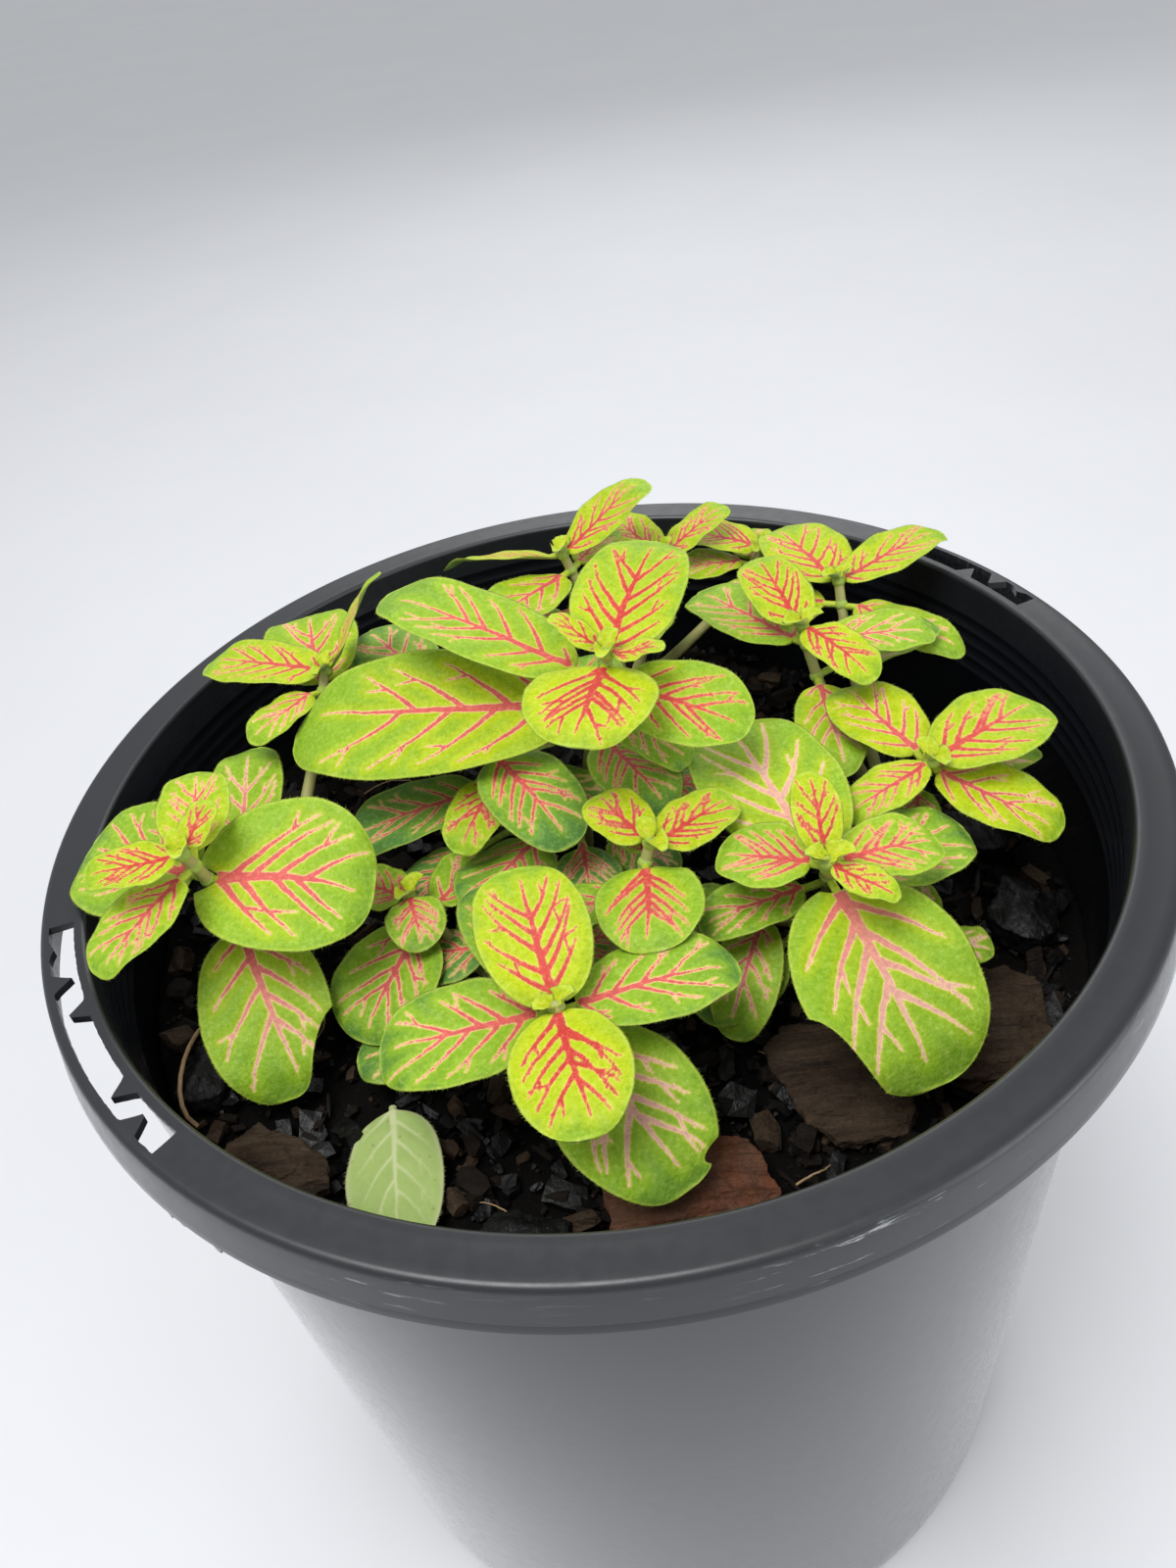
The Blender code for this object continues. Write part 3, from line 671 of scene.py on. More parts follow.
def outline(share, power=OUTLINE_POWER):
    """Half width of a blade, as a share of its widest."""
    return np.clip(4 * share * (1 - share), 0, 1) ** power


def wander(start, heading, length, turn, rng, step, jag):
    """A vein's path: it turns steadily, with small jags, in the blade's plane."""
    count = max(3, int(length / step))
    points, angle = [np.array(start, float)], heading
    for _ in range(count):
        angle += turn / count
        way = np.array(polar(1, angle + rng.normal(0, jag)))
        points.append(points[-1] + way * length / count)
    return np.array(points)


def inside(point, length, half, share):
    """Whether a point lies within that share of the blade's width."""
    x = point[0] / length
    return 0 < x < 0.97 and abs(point[1]) < half * share * float(outline(np.array(x)))


def clipped(points, length, half, share):
    """The path up to where it would pass into the leaf's margin."""
    kept = [points[0]]
    for p in points[1:]:
        if not inside(p, length, half, share):
            break
        kept.append(p)
    return np.array(kept)


def vein_network(length, half, age, rng):
    """Segments (x, y, x, y, width, width) of the veins, in mm from the blade's base."""
    found = []

    def lay(points, wide, narrow):
        steps = len(points) - 1
        for i in range(steps):
            a = wide + (narrow - wide) * i / steps
            b = wide + (narrow - wide) * (i + 1) / steps
            found.append((*points[i], *points[i + 1], a, b))

    def spurs(points, chance, size, wide):
        for i in range(1, len(points) - 1):
            if rng.random() > chance:
                continue
            way = points[i] - points[i - 1]
            angle = math.atan2(way[1], way[0]) + rng.choice((-1, 1)) * rng.uniform(0.7, 1.3)
            tip = points[i] + size * rng.uniform(0.7, 1.5) * np.array(polar(1, angle))
            lay(np.array([points[i], tip]), wide, SPUR_TIP)

    trunk = 0.4 + 0.125 * half + 0.2 * age
    count = 5 if age < 0.45 and half > 5 else 4
    rib = wander((0, 0), 0, length * RIB_SHARE, rng.normal(0, 0.06), rng, VEIN_STEP, 0.05)
    lay(rib, trunk, VEIN_TIP)
    spurs(rib[2:], 0.5, 0.42, VEIN_TIP)
    for sign in (1, -1):
        for i in range(count):
            share = 0.03 + 0.66 * (i / count) ** 1.05 + rng.normal(0, 0.012)
            share += 0.05 if sign > 0 else 0
            start = rib[min(len(rib) - 2, int(share / RIB_SHARE * (len(rib) - 1)))]
            angle = math.radians(VEIN_ANGLE - 24 * share + rng.normal(0, 4)) * sign
            turn = -math.radians(VEIN_TURN) * sign
            wide = trunk * (0.66 - 0.22 * share)
            path = wander(start, angle, half * 2.0, turn, rng, VEIN_STEP, 0.07)
            path = clipped(path, length, half, 0.8 + rng.normal(0, 0.04))
            if len(path) < 3:
                continue
            lay(path, wide, VEIN_TIP)
            spurs(path[1:], 0.6, 0.4, VEIN_TIP)
            if rng.random() < 0.35:
                continue
            k = int(rng.uniform(0.55, 0.75) * (len(path) - 1))
            way = path[k] - path[k - 1]
            lean = rng.choice((0.75, -0.75))
            heading = math.atan2(way[1], way[0]) - lean * sign * rng.uniform(0.85, 1.2)
            branch = wander(path[k], heading, half * rng.uniform(0.22, 0.36),
                            0.2 * sign * np.sign(lean), rng, 0.8, 0.1)
            branch = clipped(branch, length, half, 0.84)
            if len(branch) > 1:
                lay(branch, wide * 0.6, 0.32)
    return np.array(found)


def distance_to(veins, x, y):
    """Distance in mm from each point to the nearest vein's edge; inside it is negative."""
    ax, ay, bx, by, wa, wb = (veins[:, i][None, :] for i in range(6))
    dx, dy = bx - ax, by - ay
    share = ((x[:, None] - ax) * dx + (y[:, None] - ay) * dy) / (dx * dx + dy * dy + 1e-9)
    share = np.clip(share, 0, 1)
    gap = np.hypot(x[:, None] - ax - share * dx, y[:, None] - ay - share * dy)
    return (gap - (wa + (wb - wa) * share) / 2).min(axis=1)


def add_leaf(gather, leaf, age, tone, seed, shape):
    """One leaf as a closed skin: petiole, then a blade that thins to its margin."""
    rng = np.random.default_rng(seed)
    step = LEAF_STEP
    rows = max(16, int(leaf.length / step))
    over = max(13, int(2 * leaf.half / step)) | 1
    below = max(9, over // 3) | 1
    blade = (1 - np.cos(np.linspace(0, 1, rows) * math.pi)) / 2
    blade = 0.35 * blade + 0.65 * np.linspace(0, 1, rows)
    blade[0], blade[-1] = 0.004, 0.997
    stalk = np.linspace(STALK_START, max(leaf.base, STALK_START + 0.5 * MM), 7)[:-1]
    along = np.concatenate([stalk, leaf.base + leaf.length * blade])
    share = np.concatenate([np.zeros(6), blade])
    wide = leaf.half * outline(share, shape.get("power", OUTLINE_POWER))
    wide = wide * (1 + shape.get("broad", 0.0) * (0.5 - share) * (share > 0))
    wide = np.maximum(wide, PETIOLE_RADIUS)
    top, bottom = np.linspace(-1, 1, over), np.linspace(1, -1, below)[1:-1]
    v = np.tile(np.concatenate([top, bottom]), len(along))
    on_top = np.tile(np.concatenate([np.ones(over), np.zeros(below - 2)]), len(along))
    columns = over + below - 2
    a, s, w = (np.repeat(x, columns) for x in (along, share, wide))
    stalky = 1 - smooth_step(0.0, 0.1, s)
    lobe = shape.get("lobe", 0.03) * leaf.length
    pulled = a - lobe * v**2 * (1 - s) ** 3 * (s > 0)
    t = v * w
    for side, place, reach, depth in shape.get("bites", ()):
        bite = depth * np.clip(1 - ((s - place) / reach) ** 2, 0, 1) ** 0.7
        t = np.where(v * side > 0, t * (1 - bite), t)
    sway = shape.get("sway", rng.normal(0, 0.035)) * leaf.half
    t = t + sway * np.sin(math.pi * s)
    x, y = (pulled - leaf.base) / MM, t / MM
    veins = vein_network(leaf.length / MM, leaf.half / MM, age, rng)
    vein = distance_to(veins, x, y - sway * np.sin(math.pi * s) / MM)
    to_end = np.minimum(a - leaf.base + lobe, leaf.base + leaf.length - a)
    near_edge = np.minimum(w * (1 - np.abs(v)), to_end)
    margin = smooth_step(0, 2.2 * MM, near_edge)
    phase = rng.uniform(0, 6.28, 3)
    wave = WAVE_HEIGHT * v**4 * np.sin(9 * s + phase[0] + 1.5 * np.sign(v))
    wave += 0.4 * WAVE_HEIGHT * np.abs(v) ** 3 * np.sin(21 * s + phase[1] * np.sign(v))
    droop = -0.06 * leaf.length * smooth_step(0.75, 1.0, s) ** 2
    quilt = QUILT_HEIGHT * (1 - np.exp(-np.maximum(vein, 0) * MM / QUILT_REACH)) * margin
    middle = leaf.middle(pulled) + (leaf.cup(v * w) + wave + quilt) * (1 - stalky) + droop
    sheet = BLADE_THICKNESS * (1 - 0.65 * np.abs(v) ** 3) / 2
    rod = PETIOLE_RADIUS * np.sqrt(np.clip(1 - v * v, 0, 1))
    half_thick = sheet * (1 - stalky) + rod * stalky
    rib = MIDRIB_BULGE * (1 - s) * np.exp(-((v * w) / (0.55 * MM)) ** 2) * (1 - stalky)
    height = middle + np.where(on_top > 0, half_thick, -half_thick - rib)
    points = leaf.world(pulled, t, height)
    faces = rings_faces(len(along), columns)
    vein = vein + shape.get("faint", 0.0)
    tone_here = tone + rng.normal(0, 0.04) + 0.3 * (s - 0.4)
    tone_here += 0.22 * smooth_step(0.5, 2.6, vein)
    young = np.clip(age * (0.8 + 0.5 * s), 0, 1)
    gather.add(points, [tuple(reversed(f)) for f in faces],
               vein=np.where(s > 0, vein, 0.3), edge=near_edge / MM, under=1 - on_top,
               age=young, tone=tone_here)
    grid = points.reshape(len(along), columns, 3)[8:-1]
    for column, inward in ((0, 2), (over - 1, over - 3)):
        out = grid[:, column] - grid[:, inward]
        out /= np.linalg.norm(out, axis=1)[:, None]
        add_hairs(gather, grid[:, column], out, rng, tone)


def add_hairs(gather, points, out, rng, tone):
    """Short pale hairs along a margin, each a closed spike."""
    count = int(len(points) * HAIRS_PER_POINT)
    picks = np.sort(rng.uniform(0, len(points) - 1.001, count))
    for pick in picks:
        i = int(pick)
        root = points[i] + (points[i + 1] - points[i]) * (pick - i)
        along = points[i + 1] - points[i]
        size = np.linalg.norm(along)
        if size < 0.02 * MM:
            continue
        along = along / size
        way = out[i] + rng.normal(0, 0.25, 3)
        across = np.cross(along, out[i])
        tip = root + way * HAIR_LENGTH * rng.uniform(0.5, 1.2)
        side = HAIR_WIDTH / 2
        foot = root - out[i] * 0.1 * MM
        corners = [foot + along * side, foot - along * side * 0.5 + across * side,
                   foot - along * side * 0.5 - across * side, tip]
        gather.add(corners, [(0, 1, 3), (1, 2, 3), (2, 0, 3), (0, 2, 1)],
                   vein=3.0, edge=0.0, under=0.3, age=0.2, tone=tone)


def add_knuckle(gather, hub, way, radius):
    """The swollen joint where the pair leaves its stem."""
    rows, columns = 9, 14
    points = []
    frame_of = Vector(way).to_track_quat("Z", "Y").to_matrix()
    for r in range(rows):
        lift = math.pi * (r + 0.5) / rows
        for c in range(columns):
            turn = 2 * math.pi * c / columns
            ball = Vector((math.sin(lift) * math.cos(turn), math.sin(lift) * math.sin(turn),
                           math.cos(lift) * 0.95))
            points.append(Vector(hub) + frame_of @ ball * radius)
    gather.add(points, rings_faces(rows, columns), vein=3.0, edge=3.0, under=0.45,
               age=0.2, tone=0.2)


def look_of(name, order):
    """Ages and tones of a pair's two leaves."""
    if name in LOOKS:
        return LOOKS[name]
    age = min(0.75, 0.1 + 0.2 * order)
    return (age, age, min(0.6, 0.12 * order), min(0.6, 0.14 * order))


# Blade shapes that differ from the plain one, by pair and leaf.
SHAPES = {
    ("left_3", 0): {"lobe": 0.16, "power": 0.4},
    ("front_1", 0): {"lobe": 0.05, "power": 0.4},
    ("front_1", 1): {"lobe": 0.04, "power": 0.4},
    ("crown_2", 1): {"lobe": 0.07, "power": 0.38},
    ("centre_2", 0): {"lobe": 0.08, "power": 0.4},
    ("mid_3", 0): {"lobe": 0.06, "power": 0.42, "bites": [(-1, 0.74, 0.2, 0.22)]},
    ("mid_3", 1): {"lobe": 0.03, "power": 0.41},
    ("left_4", 0): {"lobe": 0.04, "power": 0.42, "bites": [(1, 0.84, 0.24, 0.36)]},
    ("front_3", 0): {"power": 0.42, "bites": [(1, 0.92, 0.04, 0.34)]},
}

# Shaded leaves under the shoots, whose deep tones are partly painted shade: stem,
# height of the joint in mm, heading and rise in degrees, then stalk, length and half
# width in mm, age and tone.
SHADED = [
    ("back", 196, 197, 2, 26, 22, 8, 0.3, 0.4),
    ("crown", 181, 211, 2, 24, 17, 7.5, 0.5, 0.85),
    ("crown", 177, 237, 14, 17, 21, 9, 0.5, 0.6),
    ("crown", 180, 271, 8, 18, 14, 6.5, 0.6, 0.9),
    ("crown", 181, 344, 10, 18, 16, 7, 0.3, 0.8),
    ("crown", 181, 300, 2, 16, 15, 6.5, 0.5, 0.8),
    ("crown", 194, 122, 11, 34, 24, 9, 0.5, 0.6),
    ("front", 181, 171, -12, 4, 16, 7, 0.5, 0.9),
    ("front", 179, 12, 0, 7, 15, 6.5, 0.4, 0.8),
    ("front", 173, 190, 2, 19, 15, 6.5, 0.5, 0.7),
    ("mid", 178, 208, -6, 10, 18, 8, 0.8, 0.6),
]


def make_leaves(leaf_look):
    """One piece for each packed pair, with its joint and, on a top pair, its bud."""
    hubs = {}
    pairs = sorted(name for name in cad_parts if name.startswith("leaf_pair_"))
    trees = {stem: tree_of("stem_" + stem) for stem in set(STEM_OF.values())}
    for index, node_name in enumerate(pairs):
        shoot, order = node_name[len("leaf_pair_"):].rsplit("_", 1)
        corners = points_of(node_name)
        hub, leaves = read_pair(corners, trees[STEM_OF[shoot]])
        hubs.setdefault(shoot, []).append(hub)
        looks = look_of(f"{shoot}_{order}", int(order))
        gather = Gather(*LEAF_VALUES)
        for k, leaf in enumerate(leaves):
            shape = SHAPES.get((f"{shoot}_{order}", k), {})
            closer = (leaf.base - STALK_START) * (DRAWN_IN_TOP if order == "1" else DRAWN_IN)
            leaf.base, leaf.length = leaf.base - closer, leaf.length + closer
            add_leaf(gather, leaf, looks[k], looks[2 + k], 100 + index * 7 + k, shape)
        add_knuckle(gather, hub, stem_way(hubs[shoot]), KNUCKLE_RADIUS)
        if order == "1":
            add_bud(gather, hub, leaves, 500 + index)
        gather.piece(f"leaves_{shoot}_{order}", leaf_look, "leaf_green", [node_name])


def stem_way(hubs):
    """The direction of a shoot at its last hub: toward its top one, or upward."""
    if len(hubs) < 2:
        return np.array([0.0, 0.0, 1.0])
    return unit(hubs[0] - hubs[-1])


def free_leaf(hub, ahead, up, length, half, base, bend):
    """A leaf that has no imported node, in the same terms as one that has."""
    leaf = object.__new__(Leaf)
    leaf.hub, leaf.ahead = hub, unit(ahead)
    leaf.side = unit(np.cross(up, leaf.ahead))
    leaf.normal = np.cross(leaf.ahead, leaf.side)
    leaf.length, leaf.half, leaf.base = length, half, base
    leaf.bend = np.array(bend, float)
    return leaf


def add_bud(gather, hub, leaves, seed):
    """The growing tip over the top pair: two small folded leaves set crosswise."""
    rng = np.random.default_rng(seed)
    way = unit(np.array([0.0, 0.0, 1.0]) * 0.6 + (leaves[0].normal + leaves[1].normal) * 0.2)
    across = unit(np.cross(way, leaves[0].ahead))
    for sign in (1, -1):
        lean = across * sign * 0.8 + way * 0.75 + rng.normal(0, 0.08, 3)
        size = BUD_LENGTH * rng.uniform(0.85, 1.2)
        bud = free_leaf(hub - across * sign * 0.5 * MM, lean, way, size, size * 0.42, 0.9 * MM,
                        (0, 0.1, -0.05, 0, 0.8))
        add_leaf(gather, bud, 0.0, 0.0, seed + sign, {"lobe": 0.0, "sway": 0.0, "faint": 0.3})


def make_shaded(leaf_look):
    """Leaves low in the middle of the plant, each on a joint of its stem."""
    gather = Gather(*LEAF_VALUES)
    for i, (stem, z, heading, rise, stalk, length, half, age, tone) in enumerate(SHADED):
        corners = points_of("stem_" + stem)
        hub = corners[np.abs(corners[:, 2] - z * MM) < 3.5 * MM].mean(axis=0)
        turn, lift = math.radians(heading), math.radians(rise)
        ahead = np.array([math.cos(turn) * math.cos(lift), math.sin(turn) * math.cos(lift),
                          math.sin(lift)])
        leaf = free_leaf(hub, ahead, UP, length * MM, half * MM, stalk * MM,
                         (0, 0.02, -0.002, 0.0, -0.12))
        add_leaf(gather, leaf, age, tone, 700 + i, {})
        add_knuckle(gather, hub, UP, SHADED_KNUCKLE)
    gather.piece("leaves_shaded", leaf_look, "leaf_green")


def make_stems(stem_look):
    """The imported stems, rounded by a fine remesh."""
    for name in sorted(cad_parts):
        if name.startswith("stem_"):
            fine = remeshed(name, REMESH_STEP, STEM_SMOOTHING)
            settle("stalks_" + name[len("stem_"):], fine, stem_look, [name])


# ---------------------------------------------------------------- pot


def pot_sizes():
    """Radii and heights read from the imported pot."""
    r, z, _ = around(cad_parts["pot"].data)
    size = {"top": z.max(), "rim": r.max()}
    size["skirt"] = z[r > size["rim"] - 0.5 * MM].min()
    low = z < size["skirt"] - 5 * MM
    size["base"] = r[low].max()
    size["base_round"] = z[low][r[low].argmax()]
    size["mouth"] = r[z > size["top"] - 3 * MM].min()
    size["floor"] = z[(z > 1 * MM) & (r < 50 * MM)].min()
    return size


def slot_spans():
    """Middle angle, arc and radii of each slot through the flat of the rim."""
    size = pot_sizes()
    r, z, turn = around(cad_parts["pot"].data)
    flat = (z > size["top"] - 0.05 * MM) & (r > size["mouth"] + 1.6 * MM)
    flat &= r < size["rim"] - SLOT_TO_EDGE - 1 * MM
    angle = turn[flat] % 360
    spans = []
    for low, high in SLOT_RANGES:
        part = angle[(angle > low) & (angle < high)]
        spans.append((part.min(), part.max(), r[flat].min(), size["rim"] - SLOT_TO_EDGE))
    return spans


def wall_radius(size, z):
    """Radius of the inside of the pot's wall at a height."""
    low, high = size["floor"] + 1 * MM, size["top"] - 0.9 * MM
    inner_base = size["base"] - WALL
    return inner_base + (size["mouth"] - inner_base) * (z - low) / (high - low)


def straight(start, end, steps):
    """Evenly spaced points of a straight stretch, both ends among them."""
    shares = [i / steps for i in range(steps + 1)]
    return [tuple(a + (b - a) * share for a, b in zip(start, end)) for share in shares]


def quarter(r, z, radius, first, steps):
    """Points of a quarter circle about (r, z), from its first angle."""
    points = []
    for i in range(steps + 1):
        x, y = polar(radius, first + math.pi / 2 * i / steps)
        points.append((r + x, z + y))
    return points


def pot_outline(size):
    """The turned profile, from the middle of the outside base up, over the rim and in."""
    base, base_round, floor = size["base"], size["base_round"], size["floor"]
    rim, mouth, top, skirt = size["rim"], size["mouth"], size["top"], size["skirt"]
    under, edge = top - WALL, rim - RIM_ROUND
    points = [(0, 0), (base - base_round, 0)]
    points += quarter(base - base_round, base_round, base_round, -math.pi / 2, 6)[1:]
    points += straight((base, base_round), (mouth + WALL, under), 39)[1:]
    points += [(rim - 1.7 * MM, under), (rim - 1.5 * MM, skirt + 0.3 * MM)]
    points += [(rim - 1.2 * MM, skirt), (rim - 0.3 * MM, skirt), (rim, skirt + 0.3 * MM)]
    points += straight((rim, skirt + 0.5 * MM), (edge, top - 1 * MM), 5)[:-1]
    points += quarter(edge - RIM_ROUND, top - RIM_ROUND, RIM_ROUND, 0, 5)
    flat = straight((edge - RIM_ROUND, top), (mouth + MOUTH_ROUND, top), 5)[1:]
    for i, (r, z) in enumerate(flat):
        points.append((r, z - 0.1 * MM * math.sin(math.pi * (i + 1) / 5)))
    points += quarter(mouth + MOUTH_ROUND, top - MOUTH_ROUND, MOUTH_ROUND, math.pi / 2, 4)[1:]
    for i in range(RIB_COUNT):
        for lift, out in ((0.7, 0.0), (0.25, 1.0), (-0.25, 1.0), (-0.7, 0.0)):
            z = top - RIB_FIRST - RIB_PITCH * i + lift * MM
            points.append((wall_radius(size, z) - RIB_HEIGHT * out, z))
    below_ribs, foot = top - RIB_FIRST - RIB_PITCH * RIB_COUNT, floor + 1 * MM
    points += straight((wall_radius(size, below_ribs), below_ribs),
                       (wall_radius(size, foot), foot), 11)[1:]
    return points + [(base - WALL - 1 * MM, floor), (0, floor)]


def turned(name, outline_points, steps):
    """A closed solid of revolution; the first and last points lie on the axis."""
    mesh = bmesh.new()
    rings = []
    for r, z in outline_points:
        if r < 1e-7:
            rings.append([mesh.verts.new((0, 0, z))])
            continue
        turns = [2 * math.pi * i / steps for i in range(steps)]
        rings.append([mesh.verts.new((*polar(r, turn), z)) for turn in turns])
    for a, b in zip(rings, rings[1:]):
        for i in range(steps):
            j = (i + 1) % steps
            if len(a) == 1:
                mesh.faces.new((a[0], b[j], b[i]))
            elif len(b) == 1:
                mesh.faces.new((a[i], a[j], b[0]))
            else:
                mesh.faces.new((a[i], a[j], b[j], b[i]))
    return work_object(name, mesh_of(name, mesh))


def slot_tool(low, high, inner, outer, top, seed):
    """A curved prism with torn moulding teeth, which cuts one slot."""
    rng = np.random.default_rng(seed)
    mesh = bmesh.new()
    columns = []
    for i in range(SLOT_STEPS + 1):
        share = i / SLOT_STEPS
        turn = math.radians(low + (high - low) * share)
        near, far = inner, outer
        for place, side, tall in TEETH:
            gap = abs(share - place) * (high - low)
            bite = max(0.0, 1 - gap / TOOTH_HALF_ARC) * tall * MM
            if side > 0:
                near += bite
            else:
                far -= bite
        near += rng.uniform(0, 0.12) * MM
        far -= rng.uniform(0, 0.12) * MM
        columns.append([mesh.verts.new((*polar(r, turn), z))
                        for r, z in ((near, top - 5 * MM), (far, top - 5 * MM),
                                     (far, top + 2 * MM), (near, top + 2 * MM))])
    for a, b in zip(columns, columns[1:]):
        for k in range(4):
            m = (k + 1) % 4
            mesh.faces.new((a[k], a[m], b[m], b[k]))
    mesh.faces.new(columns[0])
    mesh.faces.new(columns[-1])
    return work_object("slot_tool", mesh_of("slot_tool", mesh))


def drain_tools():
    """One cylinder for each drain hole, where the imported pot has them."""
    r, z, turn = around(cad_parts["pot"].data)
    under = (np.abs(z) < 0.01 * MM) & (r > DRAIN_RING[0]) & (r < DRAIN_RING[1])
    r, angle = r[under], np.sort(turn[under] % 360)
    gaps = np.diff(np.concatenate([angle, [angle[0] + 360]]))
    starts = np.concatenate([[angle[0]], angle[1:][gaps[:-1] > DRAIN_GAP]])
    middle, radius = (r.min() + r.max()) / 2, (r.max() - r.min()) / 2
    spread = math.degrees(math.asin(radius / middle))
    tools = []
    for start in starts:
        turn = math.radians(start + spread)
        bpy.ops.mesh.primitive_cylinder_add(
            vertices=48, radius=radius, depth=12 * MM,
            location=(*polar(middle, turn), 0))
        tools.append(bpy.context.object)
    return tools


def make_pot(plastic, wall_plastic):
    """The turned pot with its slots and drain holes cut, worn at the rim."""
    size = pot_sizes()
    pot = turned("nursery_pot", pot_outline(size), POT_STEPS)
    tools = [slot_tool(*span, size["top"], 40 + i) for i, span in enumerate(slot_spans())]
    tools += drain_tools()
    for tool in tools:
        cut = pot.modifiers.new("Cut", "BOOLEAN")
        cut.operation = "DIFFERENCE"
        cut.object = tool
    mesh = baked(pot, *tools)
    mesh.shade_smooth()
    mesh.set_sharp_from_angle(angle=math.radians(SHARP_ANGLE))
    r, z, turn = around(mesh)
    wear = smooth_step(size["rim"] - 1.9 * MM, size["rim"] - 0.9 * MM, r)
    wear *= smooth_step(size["skirt"], size["top"] - 1.8 * MM, z)
    spread = np.zeros(len(turn))
    for middle, reach, most in SCUFFS:
        spread += most * np.exp(-((turn - middle) / reach) ** 2)
    wear *= np.clip(spread, 0.06, 1)
    settle("nursery_pot", mesh, plastic, ["pot"], smooth=False)
    add_attribute(mesh, "wear", wear)
    flat = smooth_step(size["top"] - 2 * MM, size["top"] - 0.6 * MM, z)
    add_attribute(mesh, "lip", (z > size["skirt"] - 0.1 * MM) * (0.35 + 0.65 * flat))
    mesh.materials.append(wall_plastic)
    for face in mesh.polygons:
        across, level = math.hypot(face.center.x, face.center.y), face.center.z
        outer = across > wall_radius(size, level) + 0.7 * MM
        face.material_index = int(outer and level < size["skirt"] + 2 * MM)
    make_flash(size, plastic)


def make_flash(size, plastic):
    """Thin torn flash that hangs from the skirt in two stretches."""
    rng = np.random.default_rng(77)
    gather = Gather("wear")
    for low, high, most in FLASH:
        turn = low
        while turn < high:
            wide, drop = rng.uniform(0.5, 1.8), rng.uniform(0.15, 1.0) ** 2 * most * MM
            outer, inner = size["rim"] - 0.35 * MM, size["rim"] - 0.95 * MM
            top = size["skirt"] + 0.5 * MM
            points = []
            low_z = top - drop - 0.5 * MM
            for place, z in ((0, top), (1, top), (0.62, low_z), (0.38, low_z)):
                angle = math.radians(turn + wide * place)
                points += [(*polar(r, angle), z) for r in (outer, inner)]
            faces = [(6, 4, 2, 0), (3, 5, 7, 1), (1, 7, 6, 0), (4, 5, 3, 2), (6, 7, 5, 4),
                     (2, 3, 1, 0)]
            gather.add(points, faces, wear=0.2)
            turn += wide * rng.uniform(0.7, 1.6)
    gather.piece("rim_flash", plastic, "pot_plastic", smooth=False)


# ---------------------------------------------------------------- potting mix


def mix_surface():
    """A function of (x, y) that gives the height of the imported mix's top."""
    tree = tree_of("potting_mix")
    samples = []
    for x in np.linspace(-0.08, 0.08, 17):
        for y in np.linspace(-0.08, 0.08, 17):
            hit = tree.ray_cast(Vector((x, y, 0.3)), -UP)[0]
            if hit:
                samples.append((x, y, hit.z))
    samples = np.array(samples)
    terms = np.stack([np.ones(len(samples)), samples[:, 0], samples[:, 1]], -1)
    plane = np.linalg.lstsq(terms, samples[:, 2], rcond=None)[0]

    def height(x, y):
        level = plane[0] + plane[1] * x + plane[2] * y
        hit = tree.ray_cast(Vector((x, y, 0.3)), -UP)[0]
        if hit is None:
            return level
        return float(np.clip(hit.z, level - MIX_UNEVEN, level + MIX_UNEVEN))

    return height


def make_mix(height, soil):
    """The body of the mix, crumbled on top, down to the pot's floor."""
    size = pot_sizes()
    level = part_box("potting_mix")[1].z
    reach = wall_radius(size, level - 4 * MM) - 0.3 * MM
    steps, turns = ((110, 320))
    points, faces = [(0, 0, height(0, 0))], []
    for i in range(1, steps + 1):
        r = reach * i / steps
        for j in range(turns):
            x, y = polar(r, 2 * math.pi * j / turns)
            rough = noise.fractal(Vector((x, y, 0)) / CLOD_SIZE, 1.0, 2.1, 4)
            fine = noise.fractal(Vector((x, y, 0.3)) / GRAIN_SIZE, 1.0, 2.1, 3)
            points.append((x, y, height(x, y) - 1.2 * MM + 1.0 * MM * rough + 0.5 * MM * fine))
    foot = (size["base"] - 2.6 * MM, size["floor"] + 1.2 * MM)
    for r, z in ((reach - 0.2 * MM, level - 14 * MM), foot):
        points += [(*polar(r, 2 * math.pi * j / turns), z) for j in range(turns)]
    for j in range(turns):
        k = (j + 1) % turns
        faces.append((0, 1 + j, 1 + k))
        for i in range(steps + 1):
            a, b = 1 + i * turns, 1 + (i + 1) * turns
            faces.append((a + j, b + j, b + k, a + k))
    last = 1 + (steps + 1) * turns
    faces.append(tuple(last + j for j in reversed(range(turns))))
    new_piece("potting_mix_body", points, faces, soil, ["potting_mix"])


def crumb_shape(rng, long, wide, thick):
    """A broken lump: a subdivided block with knocked corners and torn faces."""
    points, index = [], {}
    faces = []
    grid = (-1, -0.33, 0.4, 1)
    for i, x in enumerate(grid):
        for j, y in enumerate((-1, 0, 1)):
            for k, z in enumerate((-1, 1)):
                index[i, j, k] = len(points)
                points.append((x, y, z))
    for i in range(3):
        for j in range(2):
            ring = ((i, j), (i + 1, j), (i + 1, j + 1), (i, j + 1))
            faces.append([index[(*spot, 1)] for spot in ring])
            faces.append([index[(*spot, 0)] for spot in (ring[0], *ring[:0:-1])])
    for i in range(3):
        faces.append((index[i, 0, 0], index[i + 1, 0, 0], index[i + 1, 0, 1], index[i, 0, 1]))
        faces.append((index[i, 2, 0], index[i, 2, 1], index[i + 1, 2, 1], index[i + 1, 2, 0]))
    for j in range(2):
        faces.append((index[0, j, 0], index[0, j, 1], index[0, j + 1, 1], index[0, j + 1, 0]))
        faces.append((index[3, j, 0], index[3, j + 1, 0], index[3, j + 1, 1], index[3, j, 1]))
    p = np.array(points, float)
    p *= 1 - 0.22 * (np.abs(p).sum(axis=1)[:, None] - 1) / 2
    p += rng.normal(0, 0.13, p.shape)
    p *= np.array([long, wide, thick]) / 2
    return p, faces


